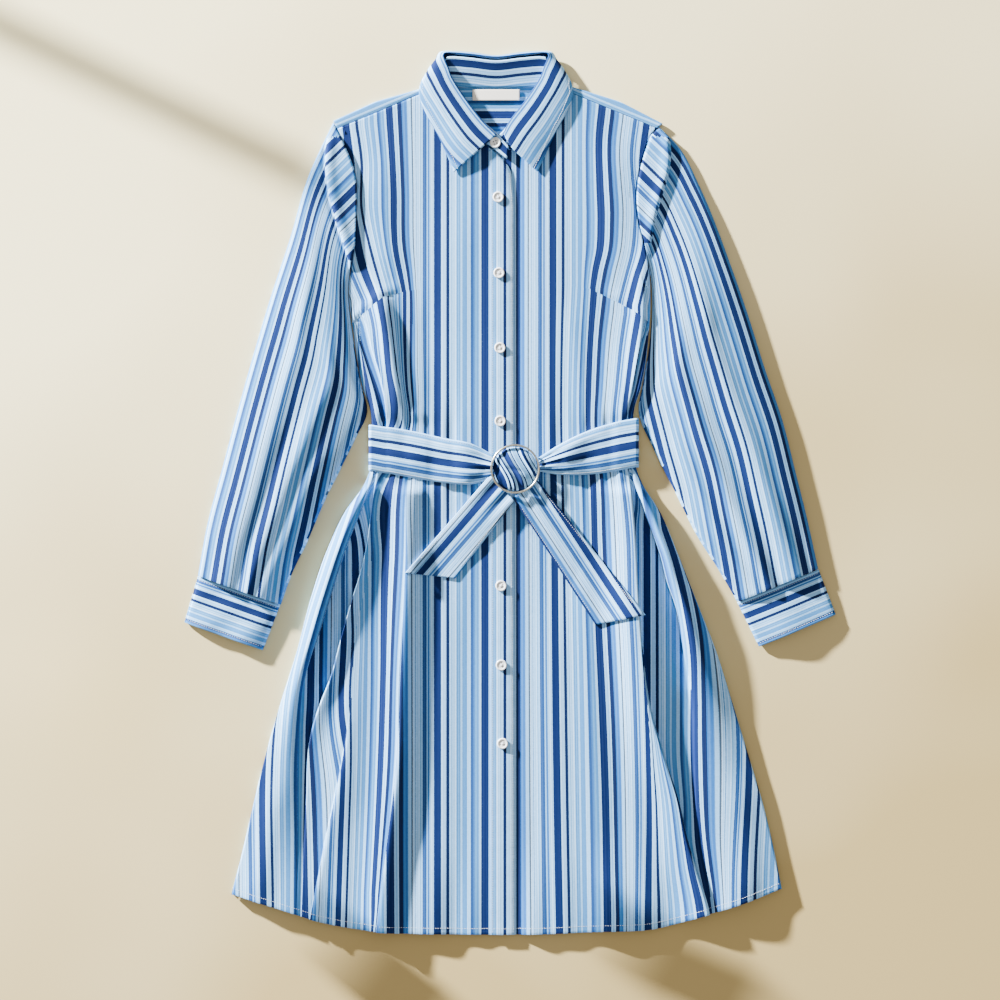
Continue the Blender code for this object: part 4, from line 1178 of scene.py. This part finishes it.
over_fronts = resting_on((front_right, front_left, placket), 4 * MM)
BELT_GAP = BELT_WALL + 0.5 * MM  # height of the belt's outer side over what it lies on
BELT_MIDDLE = 7 * MM  # x of the middle of the gathers
BELT_WIDTH = 51 * MM


def belt_height(x, y, across):
    """Height of the belt over the fronts, pleated beside the ring and rounded across."""
    height = smoothed(over_fronts(x, y), 12) + BELT_GAP
    near_ring = np.exp(-np.abs(x - BELT_MIDDLE) / (34 * MM))
    pleats = np.sin(across * 19 + 1.5 * np.sin(x / (16 * MM)))
    pleats = pleats + 0.6 * np.sin(across * 34 + x / (11 * MM))
    crown = np.sin(np.pi * across)
    height = height + near_ring * (1.5 * MM * pleats + 3.0 * MM * crown)
    height = height + 1.6 * MM * crown ** 0.5
    height = height + 3.6 * MM * bell(np.abs(x - BELT_MIDDLE) - 56 * MM, 22 * MM)
    height = height + 0.35 * MM * np.sin(across * 7 + x / (13 * MM))
    return height - 0.5 * MM * (2 * across - 1) ** 8


def make_belt():
    """The belt as rows across it, from the ring round the dress and back to the ring."""
    across = np.linspace(0, 1, 26)
    (left, left_top, left_low), (right, right_top, right_low) = np.array(BELT_SIDES) * MM
    left_y = left_top + across * (left_low - left_top)
    right_y = right_top + across * (right_low - right_top)
    fronts, turns = [], []
    angles = np.linspace(0, np.pi, 15)
    for toward, table, xs, side, side_y in (
        (-1, BELT_RIGHT, np.linspace(-19, -143, 64), left, left_y),
        (1, BELT_LEFT, np.linspace(126, 33, 50), right, right_y),
    ):
        x = np.repeat(xs[:, None] * MM, len(across), axis=1)
        top, bottom = column(table, 0, 1)(x), column(table, 0, 2)(x)
        y = top + across * (bottom - top)
        front = together(x, y, belt_height(x, y, across))
        border = front[-1 if toward < 0 else 0, :, 2]
        turn = []
        for angle in angles if toward < 0 else angles[::-1]:
            bulge = side - toward * 4.0 * MM * (1 - math.sin(angle))
            height = border / 2 * (1 + math.cos(angle))
            turn.append(together(bulge + 0 * side_y, side_y, height))
        fronts.append(front)
        turns.append(np.array(turn))
    shares = np.linspace(0.03, 0.97, 30)[:, None]
    under_x = left + (right - left) * shares + 0 * across
    under_y = left_y + (right_y - left_y) * shares
    under = together(under_x, under_y, 0 * under_x)
    points = np.concatenate([fronts[0], turns[0], under, turns[1], fronts[1]])
    stripe = WIDE_BLUE - (across * BELT_WIDTH - 27.9 * MM)
    steps = np.linalg.norm(np.diff(points[:, len(across) // 2], axis=0), axis=-1)
    along = np.concatenate([[0], np.cumsum(steps)])
    place = together(stripe + 0 * along[:, None], along[:, None] + 0 * across)
    return cut_cloth("belt_waist_cloth", points, place, BELT_WALL, (0, 0, -1))


belt_waist = make_belt()
fit(belt_waist, "belt_waist")


def make_tail(name, corners, lift, stripe_at):
    ring_left, ring_right, tip_left, tip_right = np.array(corners) * MM
    across = np.linspace(0, 1, 30)[None, :, None]
    along = np.linspace(0, 1, 72)[:, None, None]
    near = (1 - across) * ring_left + across * ring_right
    far = (1 - across) * tip_left + across * tip_right
    point = (1 - along) * near + along * far
    x, y = point[..., 0], point[..., 1]
    down, over = along[..., 0], across[..., 0]
    rest = smoothed(over_fronts(x, y), 14) + BELT_GAP
    height = np.maximum(rest, (9.6 - 4.2 * down) * MM + 0 * over) + lift * (1 - ramp(0, 0.4, down))
    height = height + (1 - ramp(0, 0.45, down)) * 0.8 * MM * np.sin(over * 15 + 4 * down)
    height = height + 0.5 * MM * np.sin(down * 5) * np.sin(np.pi * over)
    height = height - 0.35 * MM * (2 * over - 1) ** 10
    direction = (tip_left - ring_left) / np.linalg.norm(tip_left - ring_left)
    from_x, from_y = x - ring_left[0], y - ring_left[1]
    from_left = np.abs(from_x * direction[1] - from_y * direction[0])
    length = from_x * direction[0] + from_y * direction[1]
    points = together(x, y, height)
    place = together(stripe_at(from_left), length)
    return cut_cloth(name, points, place, BELT_WALL, (0, 0, 1))


def left_tail_stripe(from_left):
    return WIDE_BLUE - (48.6 * MM - from_left - 11.5 * MM) / 0.93


def right_tail_stripe(from_left):
    """The stripes run to a grey line outside the wide blue one."""
    inside = WIDE_BLUE - (from_left - 13 * MM)
    outside = WIDE_BLUE + 74.4 * MM + 8.3 * MM - from_left
    return np.where(from_left > 8.3 * MM, inside, outside)


tail_left = make_tail("belt_tail_left_cloth", LEFT_TAIL, 0.0, left_tail_stripe)
tail_right = make_tail("belt_tail_right_cloth", RIGHT_TAIL, 1.4 * MM, right_tail_stripe)
fit(tail_left, "belt_tail_left")
fit(tail_right, "belt_tail_right")

RING_CENTRE = (5.8, 27.0)
RING_RADIUS = 27.2 * MM
RING_WIRE = 1.2 * MM
RING_HEIGHT = 13.4 * MM  # of the middle of the wire
KNOT_RADIUS = 25.2 * MM


def make_knot():
    """The gathered cloth in the ring: a dome with steep pleats between two hollows."""
    across = np.linspace(-1, 1, 64)
    a, b = np.meshgrid(across, across)
    disc_a = a * np.sqrt(1 - b * b / 2)
    disc_b = b * np.sqrt(1 - a * a / 2)
    out = np.hypot(disc_a, disc_b)
    slant = disc_a * 0.94 + disc_b * 0.34
    bowed = slant + 0.10 * np.sin(disc_b * 2.4) + 0.06 * disc_b * disc_b
    pleats = np.sin(bowed * 11) + 0.7 * np.sin(bowed * 19 + 1.0) + 0.35 * np.sin(bowed * 31)
    hollow = np.exp(-((disc_a + 0.90) ** 2 + (disc_b - 0.1) ** 2) / 0.05)
    hollow += np.exp(-((disc_a - 0.62) ** 2 + (disc_b + 0.72) ** 2) / 0.04)
    crossing = bell(disc_a * 0.3 + disc_b + 0.05, 0.10) * bell(disc_a, 0.35)
    dome = 9.8 * MM + 5.0 * MM * np.sqrt(np.maximum(1 - out ** 2.4, 0))
    z = dome + 0.62 * MM * pleats * (1 - out ** 6) - 3.2 * MM * hollow - 0.8 * MM * crossing
    x = RING_CENTRE[0] * MM + KNOT_RADIUS * disc_a
    y = RING_CENTRE[1] * MM + KNOT_RADIUS * disc_b
    stripe = WIDE_BLUE + 8 * MM * (1 - np.cos(8.2 * (bowed + 0.05))) + 4 * MM * bowed
    points = together(x, y, z)
    place = together(stripe, disc_b * 25 * MM)
    return cut_cloth("belt_knot_cloth", points, place, BELT_WALL, (0, 0, 1))


knot = make_knot()
fit(knot, "belt_knot")

# ---------------------------------------------------------------------------------------------
# The buckle ring: bent wire, plated a warm pewter. It lies on the belt, round the knot, and its
# plating is unevenly worn.


def make_metal():
    material, tree, shader = new_material("plated wire", Metallic=1.0)
    wear = noise(tree, world_place(tree), 350.0)
    tints = {0: wear, 6: (0.46, 0.42, 0.33, 1.0), 7: (0.60, 0.56, 0.46, 1.0)}
    tint = add_node(tree, "ShaderNodeMix", tints, data_type="RGBA")
    tree.links.new(tint.outputs[2], shader.inputs["Base Color"])
    tree.links.new(maths(tree, "MULTIPLY_ADD", wear, 0.16, 0.20), shader.inputs["Roughness"])
    return material


def make_ring():
    bpy.ops.mesh.primitive_torus_add(
        major_radius=RING_RADIUS,
        minor_radius=RING_WIRE,
        major_segments=120,
        minor_segments=18,
        location=(RING_CENTRE[0] * MM, RING_CENTRE[1] * MM, RING_HEIGHT),
    )
    torus = bpy.context.object
    torus.data.transform(torus.matrix_world)
    torus.matrix_world.identity()
    torus.name = "ring_wire"
    torus.data.shade_smooth()
    torus.data.materials.append(make_metal())
    return torus


ring = make_ring()
declare(ring, "ring")

# ---------------------------------------------------------------------------------------------
# The buttons. Mother-of-pearl, with a raised rim, a dished middle and four holes. Those on the
# placket are sewn crosswise, and one more closes the collar.

BUTTON_RADIUS = 6.25 * MM
BUTTONS = (
    (-13.6, 339), (-12.7, 252), (-11.6, 166), (-11.3, 82), (-10.4, -107), (-10.0, -198),
    (-8.6, -288),
)  # fmt: skip
HOLE_OUT = 1.5 * MM  # from the button's middle to each hole's, along both axes
HOLE_RADIUS = 0.72 * MM
HOLE_DEPTH = 1.0 * MM
BUTTON_HEIGHT = 1.8 * MM


def make_pearl():
    material, tree, shader = new_material("mother of pearl", Roughness=0.28, Coat_Weight=0.4)
    cloud = noise(tree, world_place(tree), 260.0, 3.0, Distortion=1.6)
    tints = tinted(tree, cloud, ((0.3, (0.66, 0.66, 0.63)), (0.7, (0.86, 0.85, 0.83))))
    tree.links.new(tints, shader.inputs["Base Color"])
    return material


def make_thread():
    material, tree, shader = new_material("sewing thread", Roughness=0.65)
    fuzz = noise(tree, world_place(tree), 4000.0)
    tints = tinted(tree, fuzz, ((0.0, (0.55, 0.60, 0.68)), (1.0, (0.80, 0.83, 0.86))))
    tree.links.new(tints, shader.inputs["Base Color"])
    return material


pearl, thread = make_pearl(), make_thread()


def make_button(name, x0, y0, low, turned):
    """A button as rings of points: up the outside, over the rim and in across the dish."""
    radii = np.concatenate([[1.0, 1.0], np.linspace(0.97, 0.03, 26)]) * BUTTON_RADIUS
    angles = np.linspace(0, 2 * np.pi, 72, endpoint=False)
    r, angle = np.meshgrid(radii, angles, indexing="ij")
    rounding = 0.7 * MM * np.clip((r / BUTTON_RADIUS - 0.86) / 0.14, 0, 1) ** 2.2
    z = BUTTON_HEIGHT - rounding - 0.55 * MM * (1 - ramp(0.60, 0.80, r / BUTTON_RADIUS))
    z[0] = 0.0
    x, y = r * np.cos(angle), r * np.sin(angle)
    for side_x in (-1, 1):
        for side_y in (-1, 1):
            away = np.hypot(x - side_x * HOLE_OUT, y - side_y * HOLE_OUT)
            z[1:] -= (HOLE_DEPTH * (1 - ramp(0.75, 1.15, away / HOLE_RADIUS)))[1:]
    cos, sin = math.cos(turned), math.sin(turned)
    verts = together(x0 + cos * x - sin * y, y0 + sin * x + cos * y, low + z)
    index = np.arange(x.size).reshape(x.shape)
    around = np.roll(index, -1, axis=1)
    quads = together(index[:-1], around[:-1], around[1:], index[1:]).reshape(-1, 4)
    mesh = bpy.data.meshes.new(name)
    faces = [*quads.tolist(), index[0, ::-1].tolist(), index[-1].tolist()]
    mesh.from_pydata(verts.reshape(-1, 3).tolist(), [], faces)
    mesh.update()
    mesh.shade_smooth()
    mesh.materials.append(pearl)
    return place_object(name, mesh)


def make_cross(name, x0, y0, low, turned):
    """The sewing of a button: two bars of thread between facing holes."""
    curve = bpy.data.curves.new(name, "CURVE")
    curve.dimensions = "3D"
    curve.bevel_depth = 0.24 * MM
    curve.bevel_resolution = 2
    cos, sin = math.cos(turned), math.sin(turned)
    for side in (-1, 1):
        spline = curve.splines.new("POLY")
        spline.points.add(6)
        for point, share in zip(spline.points, np.linspace(-1, 1, 7)):
            x, y = share * HOLE_OUT, side * share * HOLE_OUT
            z = low + 1.42 * MM + 0.25 * MM * (1 - share * share)
            z -= 0.9 * MM * max(abs(share) - 0.8, 0) * 5
            point.co = (x0 + cos * x - sin * y, y0 + sin * x + cos * y, z, 1.0)
    curve.materials.append(thread)
    return place_object(name, curve)


on_placket = BODY + 1.4 * MM
for number, (x0, y0) in enumerate(BUTTONS, start=1):
    low = on_placket + front_lift(y0 * MM)
    turned = 0.5 * math.sin(number * 2.3)
    button = make_button(f"button_{number}_pearl", x0 * MM, y0 * MM, low, turned)
    declare(button, f"button_{number}")
    sewing = make_cross(f"button_{number}_sewing", x0 * MM, y0 * MM, low, turned)
    declare(sewing)
neck_button = make_button("button_neck_pearl", -17.0 * MM, 401.5 * MM, 6.2 * MM, 0.4)
declare(neck_button, "button_neck")

# ---------------------------------------------------------------------------------------------
# The stitching. Rows of lockstitch along the edges of the hem, placket, cuffs, collar and belt:
# a thin line is laid over the cloth, and the stitches are set along it.


def make_stitch_group():
    group, given, result = make_group(
        "row of stitches",
        (("Geometry", "Geometry"), ("Pitch", "Float"),
         ("Stitch", "Vector"), ("Thread", "Material")),
        (("Geometry", "Geometry"),),
        "GeometryNodeTree",
    )  # fmt: skip
    line = add_node(group, "GeometryNodeMeshToCurve", {"Mesh": given["Geometry"]})
    points = add_node(
        group, "GeometryNodeResampleCurve", {"Curve": line.outputs[0], "Length": given["Pitch"]},
        mode="LENGTH",
    )  # fmt: skip
    tangent = add_node(group, "GeometryNodeInputTangent")
    along = add_node(
        group, "FunctionNodeAlignRotationToVector", {"Vector": tangent.outputs[0]}, axis="X"
    )
    grain = add_node(group, "GeometryNodeMeshUVSphere", {"Segments": 6, "Rings": 4, "Radius": 1.0})
    stitches = add_node(
        group, "GeometryNodeInstanceOnPoints",
        {"Points": points.outputs[0], "Instance": grain.outputs[0], "Rotation": along.outputs[0],
         "Scale": given["Stitch"]},
    )  # fmt: skip
    real = add_node(group, "GeometryNodeRealizeInstances", {"Geometry": stitches.outputs[0]})
    dye = {"Geometry": real.outputs[0], "Material": given["Thread"]}
    dyed = add_node(group, "GeometryNodeSetMaterial", dye)
    group.links.new(dyed.outputs[0], result["Geometry"])
    return group


stitch_group = make_stitch_group()


STITCH_PITCH = 2.8 * MM
STITCH = (1.05 * MM, 0.20 * MM, 0.16 * MM)  # half length, half width and half height


def sew(name, cloths, rows):
    """Rows of stitches on top of the cloths, along lines of x and y in millimetres."""
    on_cloth = resting_on(cloths, 0.0)
    verts, edges = [], []
    for row in rows:
        row = np.array(row, float) * MM
        lengths = np.concatenate([[0], np.cumsum(np.linalg.norm(np.diff(row, axis=0), axis=1))])
        marks = np.linspace(0, lengths[-1], max(int(lengths[-1] / (2 * MM)), 2))
        x, y = (np.interp(marks, lengths, row[:, axis]) for axis in (0, 1))
        first = len(verts)
        verts.extend(together(x, y, on_cloth(x, y) + 0.06 * MM).tolist())
        edges.extend((i, i + 1) for i in range(first, len(verts) - 1))
    mesh = bpy.data.meshes.new(name)
    mesh.from_pydata(verts, edges, [])
    line = place_object(name, mesh)
    modifier = line.modifiers.new("stitches", "NODES")
    modifier.node_group = stitch_group
    values = {"Pitch": STITCH_PITCH, "Stitch": STITCH, "Thread": thread}
    for socket in stitch_group.interface.items_tree:
        if socket.in_out == "INPUT" and socket.name in values:
            modifier[socket.identifier] = values[socket.name]
    graph = bpy.context.evaluated_depsgraph_get()
    sewn = bpy.data.meshes.new_from_object(line.evaluated_get(graph), depsgraph=graph)
    line.modifiers.clear()
    line.data = sewn
    sewn.name = name
    declare(line)


def inset_rows(corners, shares, trim):
    """Lines between two facing edges, a to c and b to d, at shares of the way across."""
    a, b, c, d = np.array(corners, float)
    rows = []
    for share in shares:
        first, final = a + share * (b - a), c + share * (d - c)
        rows.append([first + trim * (final - first), final - trim * (final - first)])
    return rows


hem_xs = np.linspace(-318, 312, 160)
hem_row = [(x, hem_line(x * MM) / MM + 7.0) for x in hem_xs]
sew("hem_stitching", (front_right, front_left, placket), [hem_row])
placket_ys = np.linspace(366, -504, 220)
placket_rows = [
    [(right_free_edge(y * MM) / MM - 2.4, y) for y in placket_ys],
    [(-19.8, y) for y in placket_ys],
]
sew("placket_stitching", (placket,), placket_rows)
for name, cuff, (a, b, c, d) in (
    ("cuff_right_stitching", cuff_right, RIGHT_CUFF),
    ("cuff_left_stitching", cuff_left, LEFT_CUFF),
):
    sew(name, (cuff,), inset_rows((a, c, b, d), (0.07, 0.93), 0.04))
tail_rows = inset_rows(RIGHT_TAIL, (0.06, 0.94), 0.16)
tail_rows += inset_rows(LEFT_TAIL, (0.06, 0.94), 0.10)
sew("belt_tail_stitching", (tail_left, tail_right), tail_rows)
belt_rows = []
for table in (BELT_RIGHT, BELT_LEFT):
    xs = np.linspace(table[1][0], table[-1][0], 40) * MM
    top, bottom = column(table, 0, 1)(xs), column(table, 0, 2)(xs)
    for share in (0.05, 0.95):
        belt_rows.append(together(xs, top + share * (bottom - top)) / MM)
sew("belt_stitching", (belt_waist,), belt_rows)
fall_edge = [section[3][:2] for section in FALL[:6]]
collar_rows = []
for mirror in (1, -1):
    edge = [((x - CENTRE) * mirror + CENTRE + mirror * 3.6, y + 4.4) for x, y in fall_edge]
    if mirror < 0:
        edge[0] = (LEFT_LEAF_END[3][0] - 3.2, LEFT_LEAF_END[3][1] + 5.2)
    collar_rows.append(edge)
sew("collar_stitching", (collar_fall,), collar_rows)

# ---------------------------------------------------------------------------------------------
# The setting: a warm beige surface, one strong lamp low on the upper left, slats that shade parts
# of the surface, soft light from all round, and a camera straight above.


def make_floor():
    """The surface, with painted shade: darker towards the lower right, where the lamp's light
    falls off.
    """
    bpy.ops.mesh.primitive_plane_add(size=6.0)
    floor = bpy.context.object
    floor.name = "floor"
    material, tree, shader = new_material("warm plaster with painted shade", Roughness=0.9)
    place = world_place(tree)
    axes = add_node(tree, "ShaderNodeSeparateXYZ", {"Vector": place})
    # Painted shade: the colour darkens towards the lower right in place of the lamp's falloff. The
    # noise adds an uneven tone.
    sideways = maths(tree, "MULTIPLY_ADD", axes.outputs["X"], -0.30, noise(tree, place, 1.6))
    slope = maths(tree, "MULTIPLY_ADD", axes.outputs["Y"], 0.60, sideways)
    tints = tinted(tree, slope, ((0.20, (0.46, 0.335, 0.128)), (0.92, (0.86, 0.76, 0.44))))
    tree.links.new(tints, shader.inputs["Base Color"])
    floor.data.materials.append(material)
    return floor


floor = make_floor()

LAMP = 6.5 * Vector((-0.766, 0.612, 0.197))
lamp_data = bpy.data.lights.new("window", "AREA")
lamp_data.shape = "DISK"
lamp_data.size = 0.26
lamp_data.energy = 6500.0
lamp_data.color = (0.96, 0.98, 1.0)
lamp = place_object("window", lamp_data)
lamp.location = LAMP
lamp.rotation_euler = (-LAMP).to_track_quat("-Z", "Y").to_euler()


def hang_slat(name, middle, length, width, lean, height):
    """A slat out of view that throws a soft band of shadow. middle is where the band falls."""
    bpy.ops.mesh.primitive_plane_add(size=1.0)
    slat = bpy.context.object
    slat.name = name
    target = Vector((*middle, 0.0))
    slat.location = target + (LAMP - target) * (height / LAMP.z)
    slat.scale = (length, width, 1.0)
    slat.rotation_euler = (0.0, 0.0, lean)
    slat.visible_camera = False


hang_slat("slat_left", (-0.42, 0.455), 0.46, 0.034, math.radians(-26), 0.17)
hang_slat("slat_low_left", (-0.130, -0.575), 0.15, 0.07, math.radians(-38), 0.10)
hang_slat("slat_low_right", (0.215, -0.560), 0.17, 0.07, math.radians(-24), 0.10)

world = bpy.data.worlds.new("soft room")
world.use_nodes = True
background = world.node_tree.nodes["Background"]
background.inputs["Color"].default_value = (1.0, 0.955, 0.91, 1.0)
background.inputs["Strength"].default_value = 0.76
bpy.context.scene.world = world

SENSOR = 36.0  # width, in millimetres
CAMERA_HEIGHT = 2.5
FRAME_SIDE = 1.15  # of the surface that the camera sees, in metres
camera_data = bpy.data.cameras.new("camera")
camera_data.sensor_width = SENSOR
camera_data.lens = SENSOR * CAMERA_HEIGHT / FRAME_SIDE
camera = place_object("camera", camera_data)
camera.location = (-11.5 * MM, -8.6 * MM, CAMERA_HEIGHT)
bpy.context.scene.camera = camera
